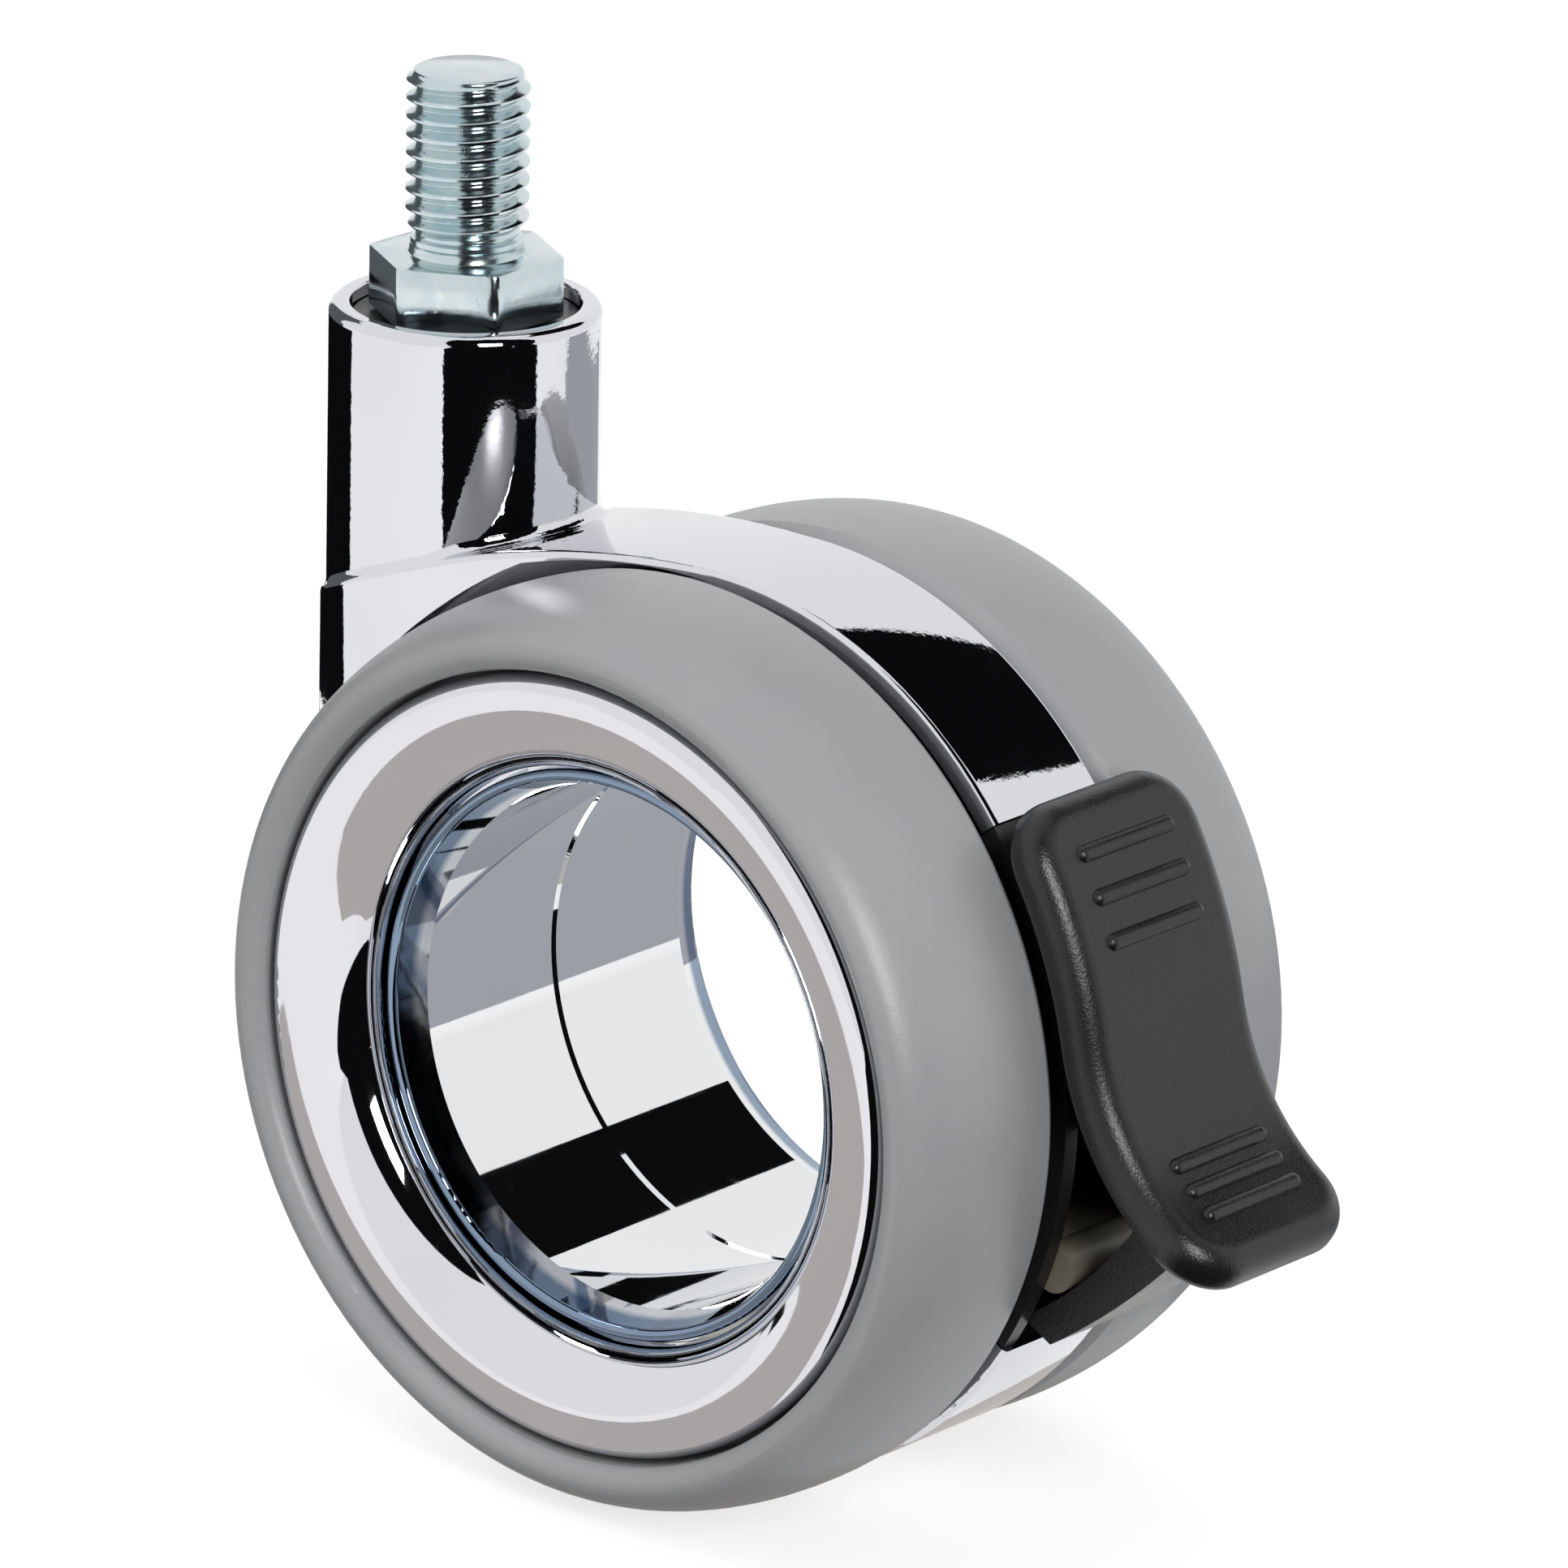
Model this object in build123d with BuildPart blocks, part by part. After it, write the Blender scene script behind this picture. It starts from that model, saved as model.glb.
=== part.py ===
from build123d import *
from math import cos, radians, sin
import os

# Twin wheel castor with a threaded stud, a chromed ring housing and a rocker brake.
# All sizes are in millimetres and degrees. The origin is the middle of the hexagon's
# top face, on the swivel axis. +Z runs up the stud and +X towards the brake pedal.
# The wheels turn about a line along Y, and the front wheel is on the -Y side.

# Castor layout
wheel_radius = 37.5
tyre_top_drop = 18.3
tyre_overhang = 5.8
ground_gap = 2.0

# Stud and swivel journal
stud_radius = 5.0
stud_length = 15.0
stud_chamfer = 1.0
hexagon_across_flats = 14.0
hexagon_height = 5.0
hexagon_bevel = 0.4
hexagon_turn = 29.0
journal_radius = 6.0
journal_chamfer = 0.5
journal_end_land = 0.8
snap_groove_depth = 0.8
snap_groove_play = 0.1
snap_ring_thickness = 1.0
snap_ring_play = 0.3
snap_ring_gap = 3.2

# Neck of the housing and its two plastic bushes
neck_radius = 11.0
neck_length = 25.7
neck_rim_drop = 4.1
neck_rim_round = 0.9
neck_mouth_round = 0.3
recess_wall = 1.75
recess_depth = 2.5
bush_wall = 2.0
bush_flange_play = 0.15
bush_flange_thickness = 1.3
upper_bush_length = 10.0
lower_bush_length = 6.0
bush_spacing = 1.4
bore_end_gap = 1.0
axial_play = 0.2
running_clearance = 0.05

# Shoulder that widens from the fender band to the neck
shoulder_overhang = 0.45
shoulder_back_length = 16.2
shoulder_back_end_angle = 200.0
flare_start_angle = 67.0
flare_pull = 7.7
flare_run_out = 1.0
shoulder_edge_round = 0.5
neck_foot_round = 0.8
tyre_gap = 1.7
room_bevel_width = 1.9
room_bevel_depth = 0.9

# Fender band, web and boss of the housing
band_sink = 0.2
band_half_width = 6.4
band_thickness = 1.7
web_half_width = 3.0
boss_wall = 2.3
boss_half_width = 5.6

# Window in the band behind the pedal
window_top_angle = 38.5
window_bottom_angle = -32.3
window_floor_land = 0.15

# Bore sleeves and the hub ring that they line
sleeve_wall = 1.25
sleeve_fit = 0.05
sleeve_lip_height = 1.55
sleeve_lip_rise = 1.85
sleeve_lip_round = 0.5
sleeve_flare_length = 3.1
sleeve_flare_rise = 0.85
sleeve_seam_bevel = 0.3
hub_ring_wall = 2.0
hub_ring_end_land = 0.5

# Wheel bearing rings and the rings that hold the wheels on
bearing_thickness = 1.5
bearing_flange_thickness = 1.0
retaining_ring_height = 2.1
retaining_ring_thickness = 1.0
retaining_ring_gap = 7.0
retaining_groove_depth = 0.55
wheel_end_play = 0.35

# Wheel cores
core_clearance = 0.08
core_tube_thickness = 1.4
core_set_back = 0.3
core_web_outer_face = 15.0
core_web_thickness = 1.5
core_rim_thickness = 1.2
core_face_seat = 1.6
core_rim_set_back = 4.6
brake_teeth = 36
tooth_height = 1.6
tooth_length = 2.6
tooth_root_width = 2.2
tooth_tip_width = 1.5

# Tyres
tyre_side_gap = 0.9
tyre_outer_face = 23.8
tyre_bevel_width = 1.5
tyre_bevel_height = 1.6
tyre_bevel_edge_drop = 0.25
tyre_bevel_bulge = 0.4
tyre_thickness = 4.1
tyre_shoulder_width = 11.1
tyre_shoulder_height = 3.7
bead_height = 1.15
bead_set_back = 1.2

# Chromed face rings
face_mouth_gap = 0.35
face_mouth_length = 1.1
face_end_gap = 0.15
face_set_back = 0.9
face_edge_round = 1.4
face_wall = 1.3

# Brake pedal, pivot, carrier, bolt and spring
pedal_stand_off = 5.7
pedal_thickness = 3.9
pedal_half_width = 10.0
pedal_corner_round = 5.0
pedal_edge_round = 2.2
pedal_back_round = 1.3
pedal_top_angle = 38.0
pedal_turn_angle = 11.5
pedal_toe_radius = 20.0
pedal_toe_turn = 44.5
pedal_toe_end = 4.8
rib_radius = 0.75
rib_rise = 0.5
rib_half_length = 5.9
ribs_per_group = 3
upper_rib_angle = 31.1
upper_rib_pitch = 4.75
lower_rib_angle = 30.5
lower_rib_pitch = 6.5
pivot_depth = 3.1
pivot_angle = 4.0
pin_radius = 1.5
lever_boss_radius = 3.4
lever_side_play = 0.3
lever_rib_sink = 1.3
lever_rib_inner_spread = 3.0
lever_rib_outer_spread = 9.0
carrier_side_play = 0.1
carrier_wall = 1.5
carrier_floor = 0.8
carrier_top_wall_angle = 3.0
carrier_open_end_angle = 1.0
carrier_fit = 0.05
carrier_end_play_angle = 0.15
carrier_set_back = 0.4
bolt_angle = -20.0
bolt_head_depth = 0.5
bolt_head_radius = 2.0
bolt_shank_width = 3.0
bolt_side_play = 0.2
bolt_tooth_gap = 0.82
bolt_rim_gap = 0.4
bolt_wing_thickness = 1.7
bolt_wing_width = 2.3
bolt_wing_end_gap = 0.2
bolt_slot_play = 0.3
bolt_travel = 2.0
bolt_arm_gap = 0.6
arm_thickness = 3.6
arm_upper_root_angle = 222.0
arm_end_drop = 0.7
arm_end_angle = -28.8
arm_end_thickness = 3.3
spring_thickness = 0.5
spring_half_width = 3.5
spring_bend_radius = 2.0
spring_gap = 0.3
spring_rise = 0.15
spring_root_angle = 33.0
spring_knee_angle = 24.0
spring_tip_angle = 125.0

# Heights below the hexagon's top face, and the wheel axis
axle_drop = tyre_top_drop + wheel_radius
trail = wheel_radius - tyre_overhang
hub = (trail, 0, -axle_drop)
wheel_axis = Axis(hub, (0, 1, 0))
side_view = Plane(origin=hub, x_dir=(1, 0, 0), z_dir=(0, -1, 0))
neck_top = Plane.XY.offset(-neck_rim_drop)
recess_floor_drop = neck_rim_drop + recess_depth
lower_bush_top_drop = recess_floor_drop + upper_bush_length + bush_spacing
lower_bush_end_drop = lower_bush_top_drop + lower_bush_length
snap_ring_top_drop = lower_bush_end_drop + axial_play
journal_end_drop = snap_ring_top_drop + snap_ring_thickness + journal_end_land + journal_chamfer
bore_end_drop = journal_end_drop + bore_end_gap
shoulder_step_drop = neck_rim_drop + neck_length
shoulder_back_drop = shoulder_step_drop + shoulder_back_length

# Radii about the swivel axis
bush_outer_radius = journal_radius + bush_wall
snap_ring_radius = bush_outer_radius - snap_ring_play
recess_radius = neck_radius - recess_wall
bush_flange_radius = recess_radius - bush_flange_play
shoulder_radius = neck_radius + shoulder_overhang

# Radii about the wheel axis, from the tread in to the bore
band_radius = wheel_radius - band_sink
core_rim_radius = wheel_radius - tyre_thickness
core_rim_inner_radius = core_rim_radius - core_rim_thickness
bead_radius = wheel_radius - tyre_shoulder_height
bead_inner_radius = core_rim_radius - bead_height
face_outer_radius = core_rim_radius - core_face_seat
bolt_wing_top = core_rim_inner_radius - bolt_rim_gap
tooth_tip_radius = bolt_wing_top - bolt_wing_thickness - bolt_tooth_gap
core_tube_radius = tooth_tip_radius - tooth_height
core_bore_radius = core_tube_radius - core_tube_thickness
bearing_radius = core_bore_radius - core_clearance
hub_ring_radius = bearing_radius - bearing_thickness
retaining_ring_radius = hub_ring_radius + retaining_ring_height
boss_radius = hub_ring_radius + boss_wall
window_floor_radius = boss_radius + window_floor_land
hub_bore_radius = hub_ring_radius - hub_ring_wall
sleeve_radius = hub_bore_radius - sleeve_fit - sleeve_wall
sleeve_flare_radius = sleeve_radius + sleeve_flare_rise
sleeve_lip_radius = sleeve_radius + sleeve_lip_rise
face_inner_radius = sleeve_lip_radius + face_mouth_gap
pivot_radius = band_radius - pivot_depth
carrier_outer_radius = band_radius - carrier_set_back
bolt_head_center = band_radius - bolt_head_depth
arm_end_radius = bolt_head_center - arm_end_drop
pedal_outer_radius = wheel_radius + pedal_stand_off

# Distances along the wheel axis from the middle of the castor
bearing_face = boss_half_width + bearing_flange_thickness
core_start = bearing_face + wheel_end_play
tyre_inner_face = band_half_width + tyre_side_gap
core_inner_face = tyre_inner_face + core_set_back
ring_face = core_web_outer_face + wheel_end_play
hub_ring_end = ring_face + retaining_ring_thickness + hub_ring_end_land
sleeve_lip_width = hub_ring_end + sleeve_lip_height
sleeve_flare_start = sleeve_lip_width - sleeve_flare_length
face_inner_end = hub_ring_end + face_end_gap
face_mouth_width = face_inner_end + face_mouth_length
face_crest_width = tyre_outer_face - face_set_back
bead_width = tyre_outer_face - bead_set_back
core_rim_end = tyre_outer_face - core_rim_set_back
crown_end = tyre_outer_face - tyre_shoulder_width
carrier_half_width = band_half_width - carrier_side_play
lever_half_width = carrier_half_width - carrier_wall - lever_side_play
bolt_half_width = carrier_half_width - carrier_wall - bolt_side_play
bolt_wing_reach = core_inner_face + tooth_length - bolt_wing_end_gap


def outward(side):
    """Plane whose x runs outwards along the wheel axis and whose y is the radius."""
    return Plane(origin=hub, x_dir=(0, side, 0), z_dir=(side, 0, 0))


def outward_face(side, distance):
    """Side view plane at a distance from the middle, which faces away from the middle."""
    place = (hub[0], side * distance, hub[2])
    return Plane(origin=place, x_dir=(1, 0, 0), z_dir=(0, side, 0))


def polar(radius, angle):
    """Point in the side view at a radius and an angle about the wheel axis."""
    return (radius * cos(radians(angle)), radius * sin(radians(angle)))


def save(piece, name):
    """Label a finished piece and write its file."""
    piece.label = name
    export_step(piece, f"parts/{name}.step")


def ring_sector(inner, outer, start, end):
    """Ring sector about the wheel axis, from the start angle up to the end angle."""
    middle = (start + end) / 2
    with BuildSketch() as shape:
        with BuildLine():
            ThreePointArc(polar(outer, start), polar(outer, middle), polar(outer, end))
            Line(polar(outer, end), polar(inner, end))
            ThreePointArc(polar(inner, end), polar(inner, middle), polar(inner, start))
            Line(polar(inner, start), polar(outer, start))
        make_face()
    return shape.sketch


os.makedirs("parts", exist_ok=True)


# Stud, hexagon and swivel journal, turned from one steel bar
with BuildPart() as threaded_stem:
    with BuildSketch(Plane.XY.offset(-hexagon_height)):
        RegularPolygon(hexagon_across_flats / 2, 6, major_radius=False, rotation=hexagon_turn)
    extrude(amount=hexagon_height)
    chamfer(threaded_stem.faces().sort_by(Axis.Z)[-1].edges(), length=hexagon_bevel)
    with BuildSketch(Plane.XY):
        Circle(stud_radius)
    extrude(amount=stud_length)
    chamfer(threaded_stem.faces().sort_by(Axis.Z)[-1].edges(), length=stud_chamfer)
    with BuildSketch(Plane.XY.offset(-hexagon_height)):
        Circle(journal_radius)
    extrude(amount=hexagon_height - journal_end_drop)
    chamfer(threaded_stem.faces().sort_by(Axis.Z)[0].edges(), length=journal_chamfer)
    groove_height = snap_ring_thickness + 2 * snap_groove_play
    with BuildSketch(Plane.XY.offset(snap_groove_play - snap_ring_top_drop)):
        Circle(journal_radius + running_clearance)
        Circle(journal_radius - snap_groove_depth, mode=Mode.SUBTRACT)
    extrude(amount=-groove_height, mode=Mode.SUBTRACT)
save(threaded_stem.part, "threaded_stem")


# Open snap ring in the journal's groove, which keeps the stem from pulling out
with BuildPart() as stem_snap_ring:
    with BuildSketch(Plane.XY.offset(-snap_ring_top_drop)):
        Circle(snap_ring_radius)
        Circle(journal_radius - snap_groove_depth, mode=Mode.SUBTRACT)
        with Locations((snap_ring_radius, 0)):
            Rectangle(snap_ring_radius, snap_ring_gap, mode=Mode.SUBTRACT)
    extrude(amount=-snap_ring_thickness)
save(stem_snap_ring.part, "stem_snap_ring")


# Upper swivel bush, whose flange carries the hexagon and closes the recess round it
with BuildPart() as upper_swivel_bush:
    with BuildSketch(Plane.XY.offset(-recess_floor_drop)):
        Circle(bush_outer_radius)
    extrude(amount=-upper_bush_length)
    with BuildSketch(Plane.XY.offset(-recess_floor_drop)):
        Circle(bush_flange_radius)
    extrude(amount=bush_flange_thickness)
    with BuildSketch(Plane.XY.offset(-recess_floor_drop - upper_bush_length)):
        Circle(journal_radius + running_clearance)
    extrude(amount=upper_bush_length + bush_flange_thickness, mode=Mode.SUBTRACT)
save(upper_swivel_bush.part, "upper_swivel_bush")


# Lower swivel bush
with BuildPart() as lower_swivel_bush:
    with BuildSketch(Plane.XY.offset(-lower_bush_top_drop)):
        Circle(bush_outer_radius)
        Circle(journal_radius + running_clearance, mode=Mode.SUBTRACT)
    extrude(amount=-lower_bush_length)
save(lower_swivel_bush.part, "lower_swivel_bush")


# Room beside the band that the tyres turn in, bevelled where the shoulder's flare runs out
with BuildPart() as tyre_room:
    for side in (-1, 1):
        with BuildSketch(outward(side)):
            with BuildLine():
                Polyline(
                    (band_half_width, 0),
                    (shoulder_radius + tyre_gap, 0),
                    (shoulder_radius + tyre_gap, band_radius + tyre_gap),
                    (band_half_width + room_bevel_width, band_radius + tyre_gap),
                    (band_half_width, band_radius - room_bevel_depth),
                    close=True,
                )
            make_face()
        revolve(axis=wheel_axis)


# Housing: one casting with neck, shoulder, fender band, web and hub ring
shoulder_left = -trail - shoulder_radius
shoulder_top = (0, band_radius)
shoulder_step = (shoulder_left, axle_drop - shoulder_step_drop)
shoulder_back = (shoulder_left, axle_drop - shoulder_back_drop)
shoulder_back_end = polar(band_radius, shoulder_back_end_angle)
flare_start = (
    shoulder_radius * cos(radians(flare_start_angle)),
    shoulder_radius * sin(radians(flare_start_angle)),
)
flare_pull_point = (
    flare_start[0] + flare_pull * sin(radians(flare_start_angle)),
    flare_start[1] - flare_pull * cos(radians(flare_start_angle)),
)
castor_front = trail + wheel_radius
ground_chord = wheel_radius - ground_gap

with BuildPart() as housing:
    # Side outline of the shoulder, wide enough for the neck
    with BuildSketch(side_view):
        with BuildLine():
            TangentArc(shoulder_top, shoulder_step, tangent=(-1, 0))
            Line(shoulder_step, shoulder_back)
            TangentArc(shoulder_back, shoulder_back_end, tangent=(0, -1))
            Line(shoulder_back_end, (0, 0))
            Line((0, 0), shoulder_top)
        make_face()
    extrude(amount=shoulder_radius, both=True)
    # Plan outline: a round back about the swivel axis that flares down to the band
    with BuildSketch(Plane.XY.offset(-axle_drop - wheel_radius)):
        with BuildLine():
            Bezier(
                flare_start,
                flare_pull_point,
                (trail - flare_run_out, band_half_width),
                (trail, band_half_width),
            )
            Line((trail, band_half_width), (castor_front, band_half_width))
            Line((castor_front, band_half_width), (castor_front, 0))
            Line((castor_front, 0), (-shoulder_radius, 0))
            CenterArc((0, 0), shoulder_radius, flare_start_angle, 180 - flare_start_angle)
        make_face()
        mirror(about=Plane.XZ)
    extrude(amount=axle_drop + wheel_radius, mode=Mode.INTERSECT)
    add(tyre_room.part, mode=Mode.SUBTRACT)
    # Fender band, cut flat where it passes over the floor
    with BuildSketch(side_view):
        Circle(band_radius)
        with Locations((0, -ground_chord)):
            Rectangle(
                2 * wheel_radius,
                wheel_radius,
                align=(Align.CENTER, Align.MAX),
                mode=Mode.SUBTRACT,
            )
    extrude(amount=band_half_width, both=True)
    # One cast round, which runs from the band's edges on round the shoulder
    band_edges = housing.edges().filter_by(GeomType.CIRCLE).sort_by(SortBy.LENGTH)
    fillet(band_edges[-1], radius=shoulder_edge_round)
    # Neck, with a round at its foot, whose back edge lies furthest from the pedal
    with BuildSketch(neck_top):
        Circle(neck_radius)
    extrude(amount=neck_rim_drop - shoulder_step_drop)
    neck_face = housing.faces().filter_by(
        lambda face: face.geom_type == GeomType.CYLINDER
        and abs(face.radius - neck_radius) < running_clearance
    )
    foot_edges = neck_face.sort_by(SortBy.AREA)[-1].edges().filter_by(GeomType.BSPLINE)
    fillet(foot_edges.sort_by(Axis.X)[0], radius=neck_foot_round)
    add(tyre_room.part, mode=Mode.SUBTRACT)
    # Hollow sides, which leave the web and the boss that the wheels' flanges run against
    for side in (-1, 1):
        with BuildSketch(outward_face(side, band_half_width)):
            Circle(band_radius - band_thickness)
            with Locations((0, -ground_chord + band_thickness)):
                Rectangle(
                    2 * wheel_radius,
                    wheel_radius,
                    align=(Align.CENTER, Align.MAX),
                    mode=Mode.SUBTRACT,
                )
        extrude(amount=web_half_width - band_half_width, mode=Mode.SUBTRACT)
    with BuildSketch(side_view):
        Circle(boss_radius)
    extrude(amount=boss_half_width, both=True)
    # Hub ring with the grooves for the retaining rings
    with BuildSketch(side_view):
        Circle(hub_ring_radius)
    extrude(amount=hub_ring_end, both=True)
    for side in (-1, 1):
        with BuildSketch(outward_face(side, ring_face)):
            Circle(hub_ring_radius + running_clearance)
            Circle(hub_ring_radius - retaining_groove_depth, mode=Mode.SUBTRACT)
        extrude(amount=retaining_ring_thickness, mode=Mode.SUBTRACT)
    with BuildSketch(side_view):
        Circle(hub_bore_radius)
    extrude(amount=hub_ring_end, both=True, mode=Mode.SUBTRACT)
    # Window behind the pedal
    with BuildSketch(side_view):
        add(
            ring_sector(
                window_floor_radius,
                band_radius + tyre_gap,
                window_bottom_angle,
                window_top_angle,
            )
        )
    extrude(amount=band_half_width, both=True, mode=Mode.SUBTRACT)
    # Recess round the hexagon and the blind bore for the bushes
    with BuildSketch(neck_top):
        Circle(recess_radius)
    extrude(amount=-recess_depth, mode=Mode.SUBTRACT)
    with BuildSketch(neck_top):
        Circle(bush_outer_radius)
    extrude(amount=neck_rim_drop - bore_end_drop, mode=Mode.SUBTRACT)
    rim_edges = housing.edges().filter_by(GeomType.CIRCLE).group_by(Axis.Z)[-1].sort_by(SortBy.RADIUS)
    fillet(rim_edges[-1], radius=neck_rim_round)
    fillet(rim_edges[0], radius=neck_mouth_round)
save(housing.part, "housing")


def bore_sleeve(side):
    """Half of the chromed lining of the bore, with a bell mouth and a rounded lip."""
    outer = hub_bore_radius - sleeve_fit
    lip_center = (sleeve_lip_width - sleeve_lip_round, (sleeve_lip_radius + sleeve_flare_radius) / 2)
    with BuildPart() as sleeve:
        with BuildSketch(outward(side)):
            with BuildLine():
                Polyline(
                    (lip_center[0], sleeve_flare_radius),
                    (sleeve_flare_start, sleeve_radius),
                    (sleeve_seam_bevel, sleeve_radius),
                    (0, sleeve_radius + sleeve_seam_bevel),
                    (0, outer),
                    (hub_ring_end, outer),
                    (hub_ring_end, sleeve_lip_radius),
                    (lip_center[0], sleeve_lip_radius),
                )
                ThreePointArc(
                    (lip_center[0], sleeve_lip_radius),
                    (sleeve_lip_width, lip_center[1]),
                    (lip_center[0], sleeve_flare_radius),
                )
            make_face()
        revolve(axis=wheel_axis)
    return sleeve.part


def bearing_ring(side):
    """Flanged slide ring on the hub ring, which the wheel core turns on."""
    with BuildPart() as ring:
        with BuildSketch(outward(side)):
            with BuildLine():
                Polyline(
                    (boss_half_width, hub_ring_radius),
                    (boss_half_width, boss_radius),
                    (bearing_face, boss_radius),
                    (bearing_face, bearing_radius),
                    (core_web_outer_face, bearing_radius),
                    (core_web_outer_face, hub_ring_radius),
                    close=True,
                )
            make_face()
        revolve(axis=wheel_axis)
    return ring.part


def retaining_ring(side):
    """Open snap ring on the end of the hub ring, which holds one wheel on."""
    with BuildPart() as ring:
        with BuildSketch(outward_face(side, ring_face)):
            Circle(retaining_ring_radius)
            Circle(hub_ring_radius - retaining_groove_depth, mode=Mode.SUBTRACT)
            with Locations((0, -retaining_ring_radius)):
                Rectangle(retaining_ring_gap, retaining_ring_radius, mode=Mode.SUBTRACT)
        extrude(amount=retaining_ring_thickness)
    return ring.part


def wheel_core(side):
    """Moulded core: hub tube, web and rim, with the brake teeth round the hub tube."""
    web_inner_face = core_web_outer_face - core_web_thickness
    with BuildPart() as core:
        with BuildSketch(outward(side)):
            with BuildLine():
                Polyline(
                    (core_start, core_bore_radius),
                    (core_web_outer_face, core_bore_radius),
                    (core_web_outer_face, face_outer_radius),
                    (core_rim_end, face_outer_radius),
                    (core_rim_end, core_rim_radius),
                    (core_inner_face, core_rim_radius),
                    (core_inner_face, core_rim_inner_radius),
                    (web_inner_face, core_rim_inner_radius),
                    (web_inner_face, core_tube_radius),
                    (core_start, core_tube_radius),
                    close=True,
                )
            make_face()
        revolve(axis=wheel_axis)
        # Teeth, each halfway between two gaps, so that a gap faces the brake bolt at rest
        pitch = 360 / brake_teeth
        sunk = core_tube_thickness / 2
        with BuildSketch(outward_face(side, core_inner_face)):
            with PolarLocations(0, brake_teeth, start_angle=bolt_angle + pitch / 2):
                Polygon(
                    (core_tube_radius - sunk, -tooth_root_width / 2),
                    (tooth_tip_radius, -tooth_tip_width / 2),
                    (tooth_tip_radius, tooth_tip_width / 2),
                    (core_tube_radius - sunk, tooth_root_width / 2),
                    align=None,
                )
        extrude(amount=tooth_length)
    return core.part


def tyre(side):
    """Soft tread with a bevelled inner shoulder, a full outer shoulder and a bead."""
    bevel_top = (tyre_inner_face + tyre_bevel_width, wheel_radius - tyre_bevel_edge_drop)
    bevel_bottom = (tyre_inner_face, bevel_top[1] - tyre_bevel_height)
    bevel_middle = (
        tyre_inner_face + tyre_bevel_width * tyre_bevel_bulge,
        bevel_top[1] - tyre_bevel_height * tyre_bevel_bulge,
    )
    with BuildPart() as tread:
        with BuildSketch(outward(side)):
            with BuildLine():
                Line((tyre_inner_face, core_rim_radius), bevel_bottom)
                ThreePointArc(bevel_bottom, bevel_middle, bevel_top)
                TangentArc((crown_end, wheel_radius), bevel_top, tangent=(-1, 0))
                EllipticalCenterArc(
                    (crown_end, bead_radius),
                    tyre_outer_face - crown_end,
                    wheel_radius - bead_radius,
                    start_angle=0,
                    arc_size=90,
                )
                TangentArc(
                    (tyre_outer_face, bead_radius),
                    (bead_width, bead_inner_radius),
                    tangent=(0, -1),
                )
                Polyline(
                    (bead_width, bead_inner_radius),
                    (core_rim_end, bead_inner_radius),
                    (core_rim_end, core_rim_radius),
                    (tyre_inner_face, core_rim_radius),
                )
            make_face()
        revolve(axis=wheel_axis)
    return tread.part


def face_ring(side):
    """Chromed trumpet-shaped face of a wheel, pressed into the core's rim."""
    crest_radius = face_outer_radius - face_edge_round
    mouth_reach = crest_radius - face_inner_radius
    mouth_rise = face_crest_width - face_mouth_width
    with BuildPart() as face:
        with BuildSketch(outward(side)):
            with BuildLine():
                Line((face_inner_end, face_inner_radius), (face_mouth_width, face_inner_radius))
                EllipticalCenterArc(
                    (face_mouth_width, crest_radius),
                    mouth_rise,
                    mouth_reach,
                    start_angle=-90,
                    arc_size=90,
                )
                TangentArc(
                    (face_crest_width, crest_radius),
                    (face_crest_width - face_edge_round, face_outer_radius),
                    tangent=(0, 1),
                )
                Polyline(
                    (face_crest_width - face_edge_round, face_outer_radius),
                    (core_web_outer_face, face_outer_radius),
                    (core_web_outer_face, crest_radius),
                    (face_crest_width - face_wall, crest_radius),
                )
                EllipticalCenterArc(
                    (face_mouth_width, crest_radius),
                    mouth_rise - face_wall,
                    mouth_reach - face_wall,
                    start_angle=-90,
                    arc_size=90,
                )
                Polyline(
                    (face_mouth_width, face_inner_radius + face_wall),
                    (face_inner_end, face_inner_radius + face_wall),
                    (face_inner_end, face_inner_radius),
                )
            make_face()
        revolve(axis=wheel_axis)
    return face.part


for place, side in (("front", -1), ("rear", 1)):
    save(bore_sleeve(side), f"{place}_bore_sleeve")
    save(bearing_ring(side), f"{place}_bearing_ring")
    save(retaining_ring(side), f"{place}_retaining_ring")
    save(wheel_core(side), f"{place}_wheel_core")
    save(tyre(side), f"{place}_tyre")
    save(face_ring(side), f"{place}_face_ring")


# Black tray in the window, whose two cheeks hold the pivot pin and guide the bolt
pivot = polar(pivot_radius, pivot_angle)
carrier_inner_radius = window_floor_radius + carrier_fit

with BuildPart() as brake_carrier:
    with BuildSketch(side_view):
        add(
            ring_sector(
                carrier_inner_radius,
                carrier_outer_radius,
                window_bottom_angle + carrier_end_play_angle,
                window_top_angle - carrier_end_play_angle,
            )
        )
    extrude(amount=carrier_half_width, both=True)
    with BuildSketch(side_view):
        add(
            ring_sector(
                carrier_inner_radius + carrier_floor,
                carrier_outer_radius + tyre_gap,
                window_bottom_angle - carrier_open_end_angle,
                window_top_angle - carrier_top_wall_angle,
            )
        )
    extrude(amount=carrier_half_width - carrier_wall, both=True, mode=Mode.SUBTRACT)
    with BuildSketch(side_view):
        with Locations(pivot):
            Circle(pin_radius)
    extrude(amount=carrier_half_width, both=True, mode=Mode.SUBTRACT)
    # Slots that guide the bolt's wings through the cheeks
    slot_top = bolt_wing_top + bolt_slot_play
    slot_bottom = bolt_wing_top - bolt_wing_thickness - bolt_travel - bolt_slot_play
    with BuildSketch(side_view):
        with Locations(Location((0, 0, 0), (0, 0, bolt_angle))):
            with Locations(((slot_top + slot_bottom) / 2, 0)):
                Rectangle(slot_top - slot_bottom, bolt_wing_width + 2 * bolt_slot_play)
    extrude(amount=carrier_half_width, both=True, mode=Mode.SUBTRACT)
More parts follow.
